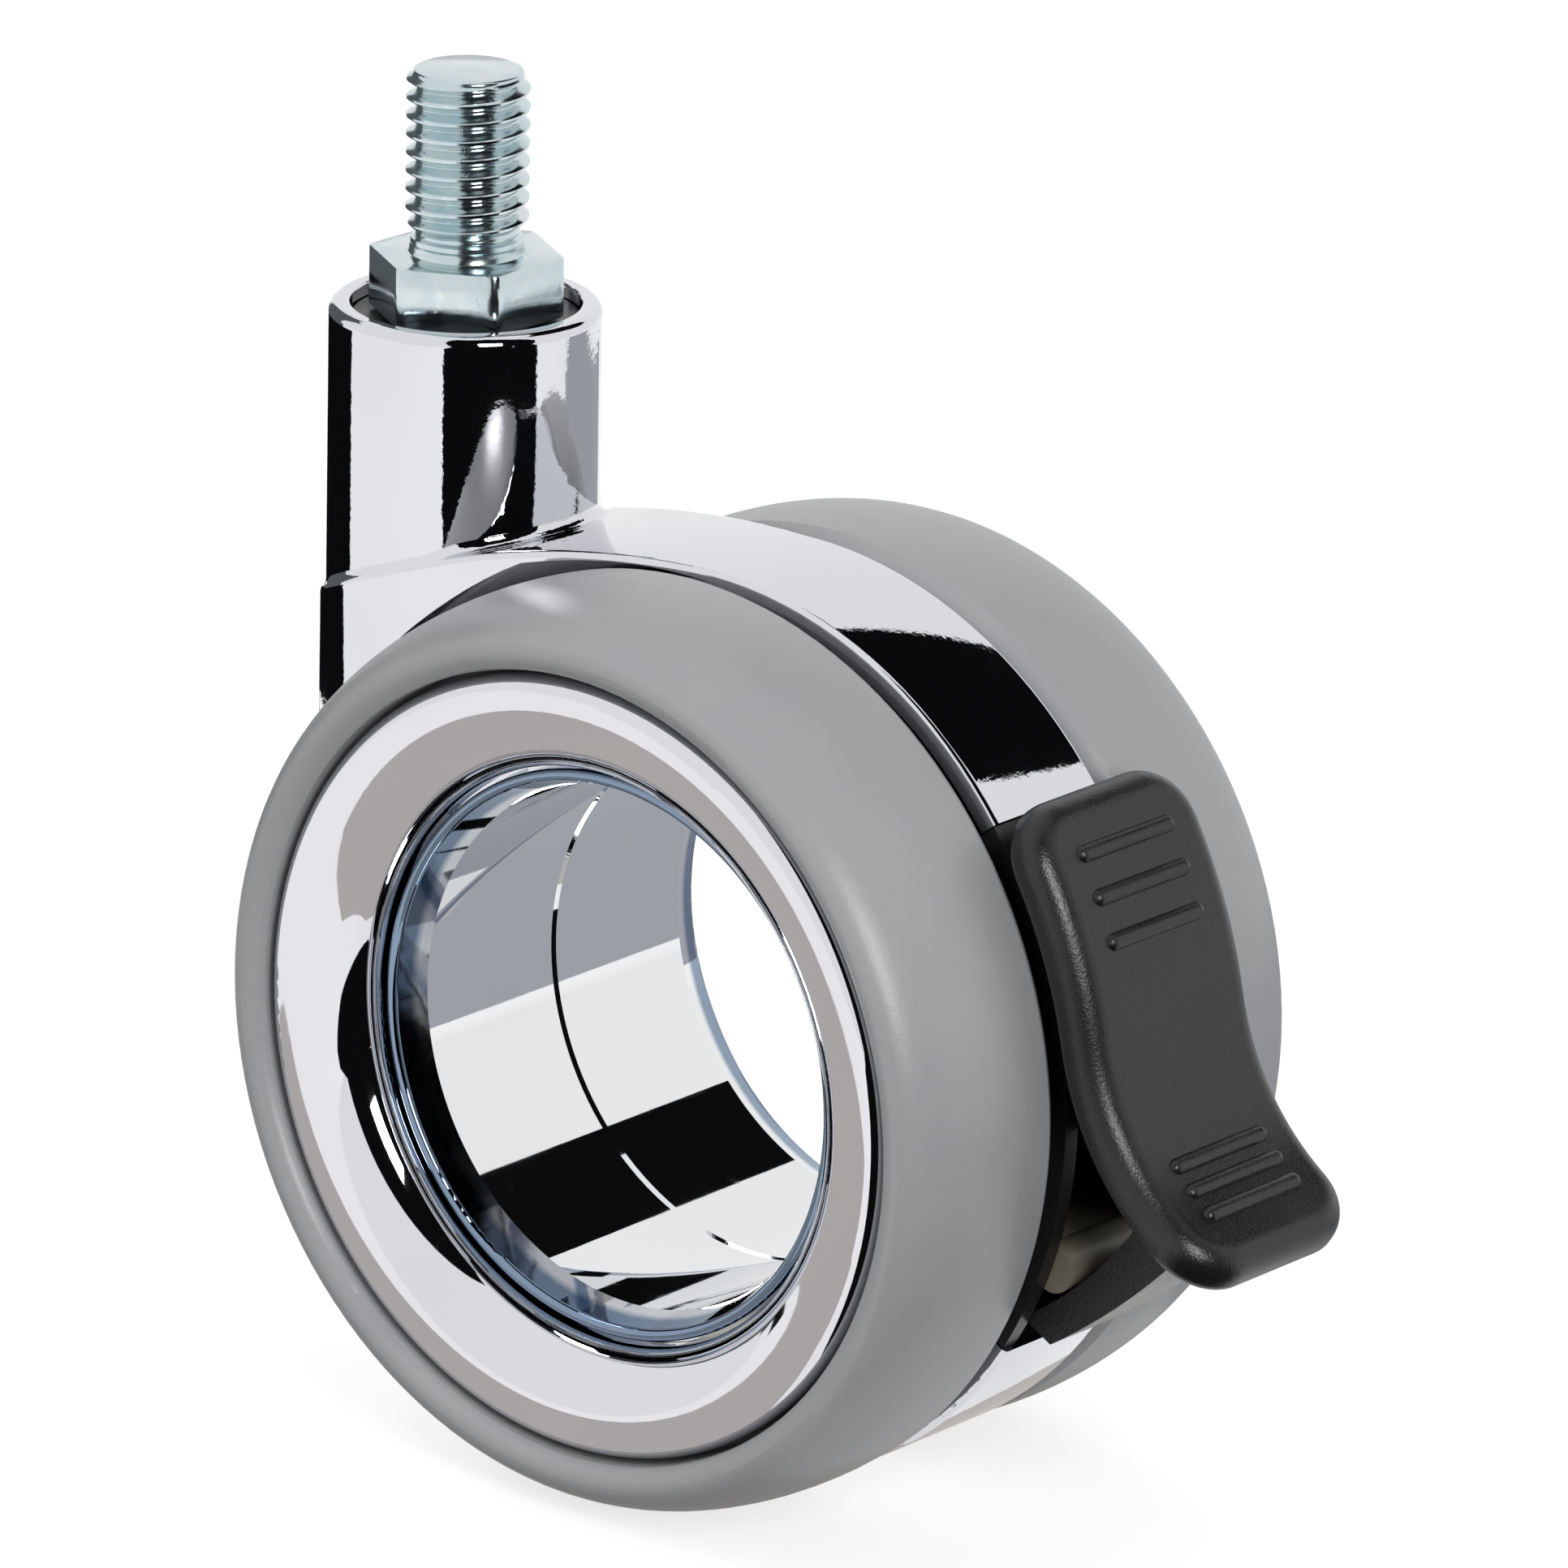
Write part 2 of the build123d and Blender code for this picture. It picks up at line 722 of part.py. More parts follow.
save(brake_carrier.part, "brake_carrier")


# Steel pin that the pedal rocks on
with BuildPart() as brake_pivot_pin:
    with BuildSketch(side_view):
        with Locations(pivot):
            Circle(pin_radius)
    extrude(amount=carrier_half_width, both=True)
save(brake_pivot_pin.part, "brake_pivot_pin")


# Locking bolt: a cross bar that the pedal's arm pushes inwards, with a wing for each wheel
with BuildPart() as brake_bolt:
    with BuildSketch(side_view):
        with Locations(Location((0, 0, 0), (0, 0, bolt_angle))):
            with Locations((bolt_head_center, 0)):
                Circle(bolt_head_radius)
            with Locations((bolt_wing_top, 0)):
                Rectangle(
                    bolt_head_center - bolt_wing_top,
                    bolt_shank_width,
                    align=(Align.MIN, Align.CENTER),
                )
    extrude(amount=bolt_half_width, both=True)
    with BuildSketch(side_view):
        with Locations(Location((0, 0, 0), (0, 0, bolt_angle))):
            with Locations((bolt_wing_top, 0)):
                Rectangle(bolt_wing_thickness, bolt_wing_width, align=(Align.MAX, Align.CENTER))
    extrude(amount=bolt_wing_reach, both=True)
save(brake_bolt.part, "brake_bolt")


# Bent steel strip on the tray's floor, whose tip stands off the pedal's boss
spring_seat_radius = carrier_inner_radius + carrier_floor + spring_thickness / 2 + spring_rise
spring_root = polar(spring_seat_radius, spring_root_angle)
spring_knee = polar(spring_seat_radius, spring_knee_angle)
spring_reach = lever_boss_radius + spring_gap + spring_thickness / 2
spring_tip = (
    pivot[0] + spring_reach * cos(radians(spring_tip_angle)),
    pivot[1] + spring_reach * sin(radians(spring_tip_angle)),
)
with BuildPart() as detent_spring:
    with BuildSketch(side_view):
        with BuildLine():
            FilletPolyline(spring_root, spring_knee, spring_tip, radius=spring_bend_radius)
        trace(line_width=spring_thickness)
    extrude(amount=spring_half_width, both=True)
save(detent_spring.part, "detent_spring")


# Rocker pedal: a curved plate that flares to a toe, a boss on the pin and an arm below it
turn_point = polar(pedal_outer_radius, pedal_turn_angle)
toe_center = polar(pedal_outer_radius + pedal_toe_radius, pedal_turn_angle)
back_radius = pedal_outer_radius - pedal_thickness
toe_start_angle = 180 + pedal_turn_angle
toe_end_angle = toe_start_angle + pedal_toe_turn


def toe(radius, angle):
    """Point in the side view at a radius and an angle about the toe's center of curvature."""
    return (
        toe_center[0] + radius * cos(radians(angle)),
        toe_center[1] + radius * sin(radians(angle)),
    )


def plate_depth(edge):
    """Depth of an edge's middle below the outer face of the pedal's plate."""
    place = side_view.to_local_coords(edge.center())
    if place.Y * cos(radians(pedal_turn_angle)) > place.X * sin(radians(pedal_turn_angle)):
        return pedal_outer_radius - Vector(place.X, place.Y).length
    return Vector(place.X - toe_center[0], place.Y - toe_center[1]).length - pedal_toe_radius


toe_direction = (-sin(radians(toe_end_angle)), cos(radians(toe_end_angle)))
toe_front = toe(pedal_toe_radius, toe_end_angle)
toe_back = toe(pedal_toe_radius + pedal_thickness, toe_end_angle)
toe_end = (pedal_toe_end * toe_direction[0], pedal_toe_end * toe_direction[1])
toe_tip = (toe_front[0] + toe_end[0], toe_front[1] + toe_end[1])
toe_heel = (toe_back[0] + toe_end[0], toe_back[1] + toe_end[1])

# One grip rib, half-round with round ends once it is sunk in the pedal's face
with BuildPart() as grip_rib:
    with BuildSketch(Plane.XY):
        SlotOverall(2 * rib_half_length, 2 * rib_radius, rotation=90)
        Rectangle(rib_radius, 2 * rib_half_length, align=(Align.MAX, Align.CENTER), mode=Mode.SUBTRACT)
    revolve(axis=Axis.Y)


with BuildPart() as brake_pedal:
    with BuildSketch(side_view):
        with BuildLine():
            upper_middle = (pedal_top_angle + pedal_turn_angle) / 2
            toe_middle = (toe_start_angle + toe_end_angle) / 2
            ThreePointArc(
                polar(pedal_outer_radius, pedal_top_angle),
                polar(pedal_outer_radius, upper_middle),
                turn_point,
            )
            ThreePointArc(turn_point, toe(pedal_toe_radius, toe_middle), toe_front)
            Polyline(toe_front, toe_tip, toe_heel, toe_back)
            ThreePointArc(
                toe_back,
                toe(pedal_toe_radius + pedal_thickness, toe_middle),
                toe(pedal_toe_radius + pedal_thickness, toe_start_angle),
            )
            ThreePointArc(
                polar(back_radius, pedal_turn_angle),
                polar(back_radius, upper_middle),
                polar(back_radius, pedal_top_angle),
            )
            Line(polar(back_radius, pedal_top_angle), polar(pedal_outer_radius, pedal_top_angle))
        make_face()
    extrude(amount=pedal_half_width, both=True)
    corner_edges = brake_pedal.edges().filter_by(
        lambda edge: edge.geom_type == GeomType.LINE
        and abs(abs(edge.center().Y) - pedal_half_width) < pedal_edge_round
        and abs(plate_depth(edge) - pedal_thickness / 2) < pedal_thickness / 4
    )
    fillet(corner_edges, radius=pedal_corner_round)
    fillet(
        brake_pedal.edges().filter_by(lambda edge: plate_depth(edge) < pedal_thickness / 4),
        radius=pedal_edge_round,
    )
    fillet(
        brake_pedal.edges().filter_by(lambda edge: plate_depth(edge) > pedal_thickness * 7 / 8),
        radius=pedal_back_round,
    )
    # Boss, the rib that ties it to the plate and the curved arm that pushes the bolt
    arm_inner_radius = bolt_head_center + bolt_head_radius + bolt_arm_gap
    arm_outer_radius = arm_inner_radius + arm_thickness
    with BuildSketch(side_view):
        with Locations(pivot):
            Circle(lever_boss_radius)
        with BuildLine():
            Polyline(
                polar(pivot_radius + lever_boss_radius / 2, pivot_angle - lever_rib_inner_spread),
                polar(back_radius + lever_rib_sink, pivot_angle - lever_rib_outer_spread),
                polar(back_radius + lever_rib_sink, pivot_angle + lever_rib_outer_spread),
                polar(pivot_radius + lever_boss_radius / 2, pivot_angle + lever_rib_inner_spread),
                close=True,
            )
        make_face()
    extrude(amount=lever_half_width, both=True)
    with BuildSketch(side_view):
        with BuildLine():
            Spline(
                toe(pedal_toe_radius + pedal_thickness / 2, arm_upper_root_angle),
                polar(arm_inner_radius, bolt_angle),
                polar(arm_end_radius, arm_end_angle),
            )
            Line(
                polar(arm_end_radius, arm_end_angle),
                polar(arm_end_radius + arm_end_thickness, arm_end_angle),
            )
            Spline(
                polar(arm_end_radius + arm_end_thickness, arm_end_angle),
                polar(arm_outer_radius, bolt_angle),
                toe(pedal_toe_radius + pedal_thickness / 2, toe_end_angle),
            )
            Line(
                toe(pedal_toe_radius + pedal_thickness / 2, toe_end_angle),
                toe(pedal_toe_radius + pedal_thickness / 2, arm_upper_root_angle),
            )
        make_face()
    extrude(amount=lever_half_width, both=True)
    with BuildSketch(side_view):
        with Locations(pivot):
            Circle(pin_radius + running_clearance)
    extrude(amount=pedal_half_width, both=True, mode=Mode.SUBTRACT)
    # Grip ribs, half-round with round ends
    rib_center_radius = pedal_outer_radius + rib_rise - rib_radius
    toe_rib_radius = pedal_toe_radius - rib_rise + rib_radius
    first_toe_rib_angle = toe_start_angle + lower_rib_angle
    for n in range(ribs_per_group):
        upper_place = polar(rib_center_radius, upper_rib_angle - n * upper_rib_pitch)
        toe_place = toe(toe_rib_radius, first_toe_rib_angle + n * lower_rib_pitch)
        for place in (upper_place, toe_place):
            with Locations(side_view.from_local_coords((*place, 0))):
                add(grip_rib.part)
save(brake_pedal.part, "brake_pedal")
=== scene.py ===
# %% [markdown]
# A twin wheel castor: a threaded stud, a chromed housing, two grey wheels round an open
# bore and a black brake pedal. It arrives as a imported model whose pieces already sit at
# their real places. This script gives them their finishes, winds the thread of the stud
# and sets up the studio. Every length below is in metres unless its name says mm.

import math

import bmesh
import bpy
import numpy as np
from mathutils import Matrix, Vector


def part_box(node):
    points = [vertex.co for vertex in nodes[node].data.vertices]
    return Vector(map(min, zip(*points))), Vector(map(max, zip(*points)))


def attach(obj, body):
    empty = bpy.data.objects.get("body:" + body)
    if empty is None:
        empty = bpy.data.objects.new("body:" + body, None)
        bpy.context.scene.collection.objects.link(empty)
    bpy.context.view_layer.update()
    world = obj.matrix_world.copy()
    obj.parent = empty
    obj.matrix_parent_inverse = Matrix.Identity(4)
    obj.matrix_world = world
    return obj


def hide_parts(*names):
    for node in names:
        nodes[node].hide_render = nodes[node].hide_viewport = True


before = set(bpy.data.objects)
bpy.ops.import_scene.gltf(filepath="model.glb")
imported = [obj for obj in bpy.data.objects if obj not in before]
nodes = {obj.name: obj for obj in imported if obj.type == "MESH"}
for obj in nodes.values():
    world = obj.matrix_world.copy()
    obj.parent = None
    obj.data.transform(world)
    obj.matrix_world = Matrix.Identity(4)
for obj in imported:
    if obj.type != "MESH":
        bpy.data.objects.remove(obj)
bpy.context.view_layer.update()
MM = 0.001
MERGE_DISTANCE = 0.0005 * MM
print("pieces in the frame:", len(nodes))

# %% [markdown]
# The wheel's centre and the floor below it are where lamps, floor and cards find their
# places. They could be typed in, but read from the tyre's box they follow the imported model
# when a size changes. The floor lies under the tyres.

# %% Places on the castor
tyre_low, tyre_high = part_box("front_tyre")
HUB_X = (tyre_low.x + tyre_high.x) / 2
HUB_Z = (tyre_low.z + tyre_high.z) / 2
FLOOR_Z = tyre_low.z
print("wheel centre x, z:", round(HUB_X, 4), round(HUB_Z, 4), "floor:", round(FLOOR_Z, 4))

# %% [markdown]
# The photograph was taken with a long lens from the front right, a little above the
# wheels. A short lens close by would swell the front wheel. A long one keeps both wheels
# nearly the same size, so the camera stands a metre away and looks at a point just above
# the middle of the wheels. Its values come from a fit to the ellipses of wheel, face ring,
# bore and neck.

# %% Camera
CAMERA_AZIMUTH = math.radians(39.83)
CAMERA_ELEVATION = math.radians(18.50)
CAMERA_ROLL = math.radians(1.22)
CAMERA_DISTANCE = 1003.1 * MM
CAMERA_LENS_MM = 291.23
LOOK_AT = np.array([34.15, 0.0, -37.03]) * MM


def unit_from_angles(azimuth, elevation):
    """Unit vector towards an azimuth counted from -Y towards +X, and an elevation."""
    flat = math.cos(elevation)
    return np.array([math.sin(azimuth) * flat, -math.cos(azimuth) * flat, math.sin(elevation)])


def place_camera():
    """The camera's own axes are right, up and back, and a roll turns the first two."""
    back = unit_from_angles(CAMERA_AZIMUTH, CAMERA_ELEVATION)
    right = np.array([math.cos(CAMERA_AZIMUTH), math.sin(CAMERA_AZIMUTH), 0.0])
    up = np.cross(back, right)
    turned_right = right * math.cos(CAMERA_ROLL) + up * math.sin(CAMERA_ROLL)
    turned_up = up * math.cos(CAMERA_ROLL) - right * math.sin(CAMERA_ROLL)
    matrix = np.eye(4)
    matrix[:3, 0] = turned_right
    matrix[:3, 1] = turned_up
    matrix[:3, 2] = back
    matrix[:3, 3] = LOOK_AT + back * CAMERA_DISTANCE
    data = bpy.data.cameras.new("camera")
    data.lens = CAMERA_LENS_MM
    data.sensor_width = 36.0
    data.clip_start = 0.05
    data.clip_end = 20.0
    camera = bpy.data.objects.new("camera", data)
    bpy.context.scene.collection.objects.link(camera)
    camera.matrix_world = matrix.T.tolist()
    bpy.context.scene.camera = camera
    return camera


camera = place_camera()
print("camera stands at", [round(x, 3) for x in camera.matrix_world.translation])

# %% [markdown]
# A new piece is a surface worked out as a whole array: a grid of points, rows along one
# parameter and columns along the other. Vertices could be added one by one, but an array
# keeps the formula in sight. Two helpers turn such a grid into faces and a closed mesh.

# %% Mesh from a grid of points
def grid_faces(rows, columns):
    """Quads: each joins a grid point to its neighbours in the next row and column."""
    index = np.arange(rows * columns).reshape(rows, columns)
    corners = (index[:-1, :-1], index[:-1, 1:], index[1:, 1:], index[1:, :-1])
    return np.stack([c.ravel() for c in corners], axis=1)


def new_piece(name, points, faces, body):
    """A closed mesh in the shared frame that rides on a body.

    Points that fall together, as at poles and seams, are merged, and the faces are then
    turned to point outwards.
    """
    mesh = bpy.data.meshes.new(name)
    mesh.from_pydata(points.reshape(-1, 3).tolist(), [], faces.tolist())
    work = bmesh.new()
    work.from_mesh(mesh)
    bmesh.ops.remove_doubles(work, verts=work.verts, dist=MERGE_DISTANCE)
    bmesh.ops.recalc_face_normals(work, faces=work.faces)
    open_edges = sum(1 for edge in work.edges if not edge.is_manifold)
    work.to_mesh(mesh)
    work.free()
    mesh.polygons.foreach_set("use_smooth", [True] * len(mesh.polygons))
    piece = bpy.data.objects.new(name, mesh)
    bpy.context.scene.collection.objects.link(piece)
    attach(piece, body)
    print(name, "faces:", len(mesh.polygons), "open edges:", open_edges)
    return piece


print("faces between 3 rows of 4 points:", len(grid_faces(3, 4)))


# %% [markdown]
# Materials are built from nodes. They could be joined by hand in the shader editor, but a
# script can repeat them and change them all at once. These small helpers add a node with
# its settings, join two sockets and start a group, so that each finish below stays short.

# %% Node helpers
def add_node(tree, kind, inputs=None, **settings):
    """A new node with its settings, and with values put on its inputs."""
    made = tree.nodes.new(kind)
    for key, value in settings.items():
        setattr(made, key, value)
    for key, value in (inputs or {}).items():
        made.inputs[key].default_value = value
    return made


def join(tree, source, target):
    """Link an output socket to an input socket."""
    tree.links.new(source, target)


def new_group(name, inputs, outputs):
    """A shader node group with named float inputs and outputs, and a Vector input."""
    group = bpy.data.node_groups.new(name, "ShaderNodeTree")
    group.interface.new_socket("Vector", in_out="INPUT", socket_type="NodeSocketVector")
    for key, value in inputs.items():
        socket = group.interface.new_socket(key, in_out="INPUT", socket_type="NodeSocketFloat")
        socket.default_value = value
    for key in outputs:
        group.interface.new_socket(key, in_out="OUTPUT", socket_type="NodeSocketFloat")
    return group, group.nodes.new("NodeGroupInput"), group.nodes.new("NodeGroupOutput")


# %% [markdown]
# Moulded plastic, soft tread and plating all carry a fine grain. A picture of such a
# surface could be laid over the pieces, but it would repeat and blur. One group makes the
# grain from a fine noise, for the height of the bump, and adds a slow noise as a mask that
# lets shade and gloss wander over the piece.

# %% Grain group
def build_grain_group():
    """Height and Mask are noises whose scale is one over the Size and the Patch."""
    group, source, target = new_group("fine_grain", {"Size": 0.0003, "Patch": 0.006}, ["Height", "Mask"])
    layers = (
        ("Size", "Height", {"Detail": 3.0, "Roughness": 0.55}),
        ("Patch", "Mask", {"Detail": 2.0}),
    )
    for length, result, settings in layers:
        scale = add_node(group, "ShaderNodeMath", {0: 1.0}, operation="DIVIDE")
        join(group, source.outputs[length], scale.inputs[1])
        noise = add_node(group, "ShaderNodeTexNoise", settings)
        join(group, source.outputs["Vector"], noise.inputs["Vector"])
        join(group, scale.outputs[0], noise.inputs["Scale"])
        join(group, noise.outputs["Fac"], target.inputs[result])
    return group


grain_group = build_grain_group()
print(grain_group.name, "has", len(grain_group.nodes), "nodes")


# %% [markdown]
# Plated and bare metal is scratched by handling. Scratches could be drawn as lines, one
# after the other. Here thin streaks come from noise that is stretched along one direction
# and cut off near its top, so that only a few lines stay. As the noise fills space, no two
# pieces get the same lines.

# %% Scratches group
STREAK_START = 0.62
STREAK_FULL = 0.74
STREAK_TURNS_AND_STRETCHES = (
    ((0.5, 0.35, 0.65), (900.0, 90.0, 300.0)),
    ((-0.9, -0.63, -1.17), (80.0, 700.0, 260.0)),
)


def build_scratch_group():
    """Mask = Amount times the larger of two stretched noises, each kept above a threshold."""
    group, source, target = new_group("handling_scratches", {"Amount": 0.5}, ["Mask"])
    total = None
    for turn, stretch in STREAK_TURNS_AND_STRETCHES:
        mapping = add_node(group, "ShaderNodeMapping")
        mapping.inputs["Rotation"].default_value = turn
        mapping.inputs["Scale"].default_value = stretch
        join(group, source.outputs["Vector"], mapping.inputs["Vector"])
        noise = add_node(group, "ShaderNodeTexNoise", {"Scale": 1.0, "Detail": 4.0, "Roughness": 0.7})
        join(group, mapping.outputs["Vector"], noise.inputs["Vector"])
        limits = {"From Min": STREAK_START, "From Max": STREAK_FULL}
        ramp = add_node(group, "ShaderNodeMapRange", limits)
        join(group, noise.outputs["Fac"], ramp.inputs["Value"])
        if total is None:
            total = ramp.outputs["Result"]
        else:
            larger = add_node(group, "ShaderNodeMath", operation="MAXIMUM")
            join(group, total, larger.inputs[0])
            join(group, ramp.outputs["Result"], larger.inputs[1])
            total = larger.outputs[0]
    amount = add_node(group, "ShaderNodeMath", operation="MULTIPLY")
    join(group, total, amount.inputs[0])
    join(group, source.outputs["Amount"], amount.inputs[1])
    join(group, amount.outputs[0], target.inputs["Mask"])
    return group


scratch_group = build_scratch_group()
print(scratch_group.name, "has", len(scratch_group.nodes), "nodes")


# %% [markdown]
# Corners lose their finish first. Wear could be painted by hand on each piece. Pointiness
# is high on outward edges by itself, so a ramp on it gives a mask for every piece, and
# noise breaks it up, as real wear is.

# %% Edge wear group
EDGE_GAIN = 12.0


def build_edge_group():
    """Mask = Amount, times noise, times a gain on the pointiness above Level, held at one."""
    group, source, target = new_group("edge_wear", {"Level": 0.53, "Amount": 0.5}, ["Mask"])
    geometry = add_node(group, "ShaderNodeNewGeometry")
    above = add_node(group, "ShaderNodeMath", operation="SUBTRACT")
    join(group, geometry.outputs["Pointiness"], above.inputs[0])
    join(group, source.outputs["Level"], above.inputs[1])
    gain = add_node(group, "ShaderNodeMath", {1: EDGE_GAIN}, operation="MULTIPLY", use_clamp=True)
    join(group, above.outputs[0], gain.inputs[0])
    noise = add_node(group, "ShaderNodeTexNoise", {"Scale": 900.0, "Detail": 3.0})
    join(group, source.outputs["Vector"], noise.inputs["Vector"])
    broken = add_node(group, "ShaderNodeMath", operation="MULTIPLY")
    join(group, gain.outputs[0], broken.inputs[0])
    join(group, noise.outputs["Fac"], broken.inputs[1])
    amount = add_node(group, "ShaderNodeMath", operation="MULTIPLY")
    join(group, broken.outputs[0], amount.inputs[0])
    join(group, source.outputs["Amount"], amount.inputs[1])
    join(group, amount.outputs[0], target.inputs["Mask"])
    return group


edge_group = build_edge_group()
print(edge_group.name, "has", len(edge_group.nodes), "nodes")


# %% [markdown]
# Every finish is a surface shader whose colour, gloss and normal are steered by the three
# groups. One function starts them all, and the groups read the piece's own object
# coordinates, so that grain and scratches stay on the piece when it moves.

# %% Material starter
def srgb(*values):
    """Linear colour with alpha from display values between 0 and 255: a straight piece near
    black, and above it a power of 2.4 of the shifted value."""
    v = np.array(values, float) / 255
    linear = np.where(v <= 0.04045, v / 12.92, ((v + 0.055) / 1.055) ** 2.4)
    return (*linear.tolist(), 1.0)


def start_material(name, **constants):
    """New material with its Principled shader and object coordinates."""
    material = bpy.data.materials.new(name)
    material.use_nodes = True
    tree = material.node_tree
    shader = tree.nodes["Principled BSDF"]
    for key, value in constants.items():
        shader.inputs[key.replace("_", " ")].default_value = value
    coordinates = add_node(tree, "ShaderNodeTexCoord").outputs["Object"]
    return material, tree, shader, coordinates


def place_group(tree, group, coordinates, **values):
    """An effect group inside a material, with its own values."""
    made = add_node(tree, "ShaderNodeGroup", node_tree=group)
    join(tree, coordinates, made.inputs["Vector"])
    for key, value in values.items():
        made.inputs[key].default_value = value
    return made


def mix_colours(tree, mask, first, second):
    """Colour that goes from the first to the second as the mask rises."""
    mix = add_node(tree, "ShaderNodeMix", data_type="RGBA")
    for socket, value in ((mix.inputs[6], first), (mix.inputs[7], second)):
        if isinstance(value, tuple):
            socket.default_value = value
        else:
            join(tree, value, socket)
    join(tree, mask, mix.inputs[0])
    return mix.outputs[2]


def ramp_value(tree, source, low, high, start=0.0, end=1.0):
    """Map a value from start..end to low..high, held at the ends."""
    ramp = add_node(
        tree, "ShaderNodeMapRange", {"From Min": start, "From Max": end, "To Min": low, "To Max": high}
    )
    join(tree, source, ramp.inputs["Value"])
    return ramp.outputs["Result"]


def add_bump(tree, shader, layers):
    """Chain of bumps, each a height with its depth in metres, into the shader's normal."""
    normal = None
    for height, depth in layers:
        bump = add_node(tree, "ShaderNodeBump", {"Strength": 1.0, "Distance": depth})
        join(tree, height, bump.inputs["Height"])
        if normal is not None:
            join(tree, normal, bump.inputs["Normal"])
        normal = bump.outputs["Normal"]
    join(tree, normal, shader.inputs["Normal"])


print("middle grey on the display is", round(srgb(128, 128, 128)[0], 3), "in linear light")


# %% [markdown]
# Housing, wheel faces and bore sleeves are chrome plated, which mirrors the studio. It could be a perfect
# mirror, but then it looks computed. What makes it real is the piece below the plating: a fine ripple
# frays the edges of the reflections, and a thin film of handling dulls them here and there. The band over
# the wheels is polished a little rounder across than the imported shape, so a crown bends its normals and
# its reflections slant. The lips of the bore look bluish, so the sleeves turn to that tone at their open
# ends: a bluish reflection painted into the colour of the plating.

# %% Chrome
LIP_START = 16.1 * MM
LIP_FADE = 0.7 * MM
BAND_START = 14 * MM
BAND_FADE = 8 * MM
BAND_EDGE = 8 * MM
CROWN_SLOPE = 0.10
SCRATCH_ROUGHNESS = 0.12


def place_from_middle(tree, place):
    """The place along x, and the distance from the plane between the two wheels."""
    parts = add_node(tree, "ShaderNodeSeparateXYZ")
    join(tree, place, parts.inputs[0])
    outward = add_node(tree, "ShaderNodeMath", operation="ABSOLUTE")
    join(tree, parts.outputs["Y"], outward.inputs[0])
    return parts.outputs["X"], outward.outputs[0]


def crown_height(tree, place):
    """Height in metres: minus the slope at the band's edge, over twice the distance of that
    edge, times the square of the distance from the middle, faded in where the band begins."""
    along, outward = place_from_middle(tree, place)
    square = add_node(tree, "ShaderNodeMath", {1: 2.0}, operation="POWER")
    join(tree, outward, square.inputs[0])
    fall = -CROWN_SLOPE / (2 * BAND_EDGE)
    on_band = ramp_value(tree, along, low=0.0, high=fall, start=BAND_START, end=BAND_START + BAND_FADE)
    height = add_node(tree, "ShaderNodeMath", operation="MULTIPLY")
    join(tree, square.outputs[0], height.inputs[0])
    join(tree, on_band, height.inputs[1])
    return height.outputs[0]


def chrome_material(name, colour, shade, ripple_size, ripple_depth, painted_lip_reflection=None, crowned=False):
    """Mirror metal with a ripple, a faint film and a few fine scratches.

    With a painted lip reflection the plating turns to that bluish tone where the distance from the middle
    passes the flare of the bore. A crowned piece has its band bent a little across.
    """
    material, tree, shader, place = start_material(name, Metallic=1.0)
    grain = place_group(tree, grain_group, place, Size=ripple_size, Patch=0.02)
    scratches = place_group(tree, scratch_group, place, Amount=0.5)
    film = mix_colours(tree, grain.outputs["Mask"], colour, shade)
    if painted_lip_reflection is not None:
        # The bluish tone at the lips of the bore is a painted reflection.
        outward = place_from_middle(tree, place)[1]
        at_lip = ramp_value(tree, outward, low=0.0, high=1.0, start=LIP_START, end=LIP_START + LIP_FADE)
        film = mix_colours(tree, at_lip, film, painted_lip_reflection)
    join(tree, film, shader.inputs["Base Color"])
    gloss = ramp_value(tree, grain.outputs["Mask"], low=0.015, high=0.06, start=0.35, end=0.75)
    dulled = add_node(tree, "ShaderNodeMath", {1: SCRATCH_ROUGHNESS}, operation="MULTIPLY_ADD")
    join(tree, scratches.outputs["Mask"], dulled.inputs[0])
    join(tree, gloss, dulled.inputs[2])
    join(tree, dulled.outputs[0], shader.inputs["Roughness"])
    layers = [(grain.outputs["Height"], ripple_depth)]
    if crowned:
        layers.insert(0, (crown_height(tree, place), 1.0))
    add_bump(tree, shader, layers)
    return material


cast_chrome = chrome_material(
    "cast_chrome",
    colour=srgb(218, 219, 223),
    shade=srgb(212, 213, 218),
    ripple_size=0.0007,
    ripple_depth=0.000007,
    crowned=True,
)
moulded_chrome = chrome_material(
    "moulded_chrome",
    colour=srgb(220, 220, 224),
    shade=srgb(214, 214, 219),
    ripple_size=0.006,
    ripple_depth=0.000004,
)
bore_chrome = chrome_material(
    "bore_chrome",
    colour=srgb(232, 233, 234),
    shade=srgb(224, 226, 229),
    ripple_size=0.008,
    ripple_depth=0.000006,
    # Painted bluish reflection at the open ends of the sleeves.
    painted_lip_reflection=srgb(128, 146, 168),
)
print("chrome:", [m.name for m in (cast_chrome, moulded_chrome, bore_chrome)])


# %% [markdown]
# The tyres are a soft grey plastic that doesn't mark floors. A flat grey would look like
# paint. The moulded tread is satin, so its gloss and shade wander slowly, and a fine grain
# breaks up the highlight along its crown.

# %% Grey tread
def tread_material():
    """Satin grey with a fine grain and slow, faint changes of shade."""
    material, tree, shader, place = start_material("grey_tread", IOR=1.5)
    grain = place_group(tree, grain_group, place, Size=0.00025, Patch=0.009)
    wear = place_group(tree, edge_group, place, Level=0.56, Amount=0.25)
    shade = mix_colours(tree, grain.outputs["Mask"], srgb(151, 152, 155), srgb(158, 159, 161))
    worn = mix_colours(tree, wear.outputs["Mask"], shade, srgb(182, 182, 182))
    join(tree, worn, shader.inputs["Base Color"])
    gloss = ramp_value(tree, grain.outputs["Mask"], low=0.31, high=0.43)
    join(tree, gloss, shader.inputs["Roughness"])
    add_bump(tree, shader, [(grain.outputs["Height"], 0.00002)])
    return material


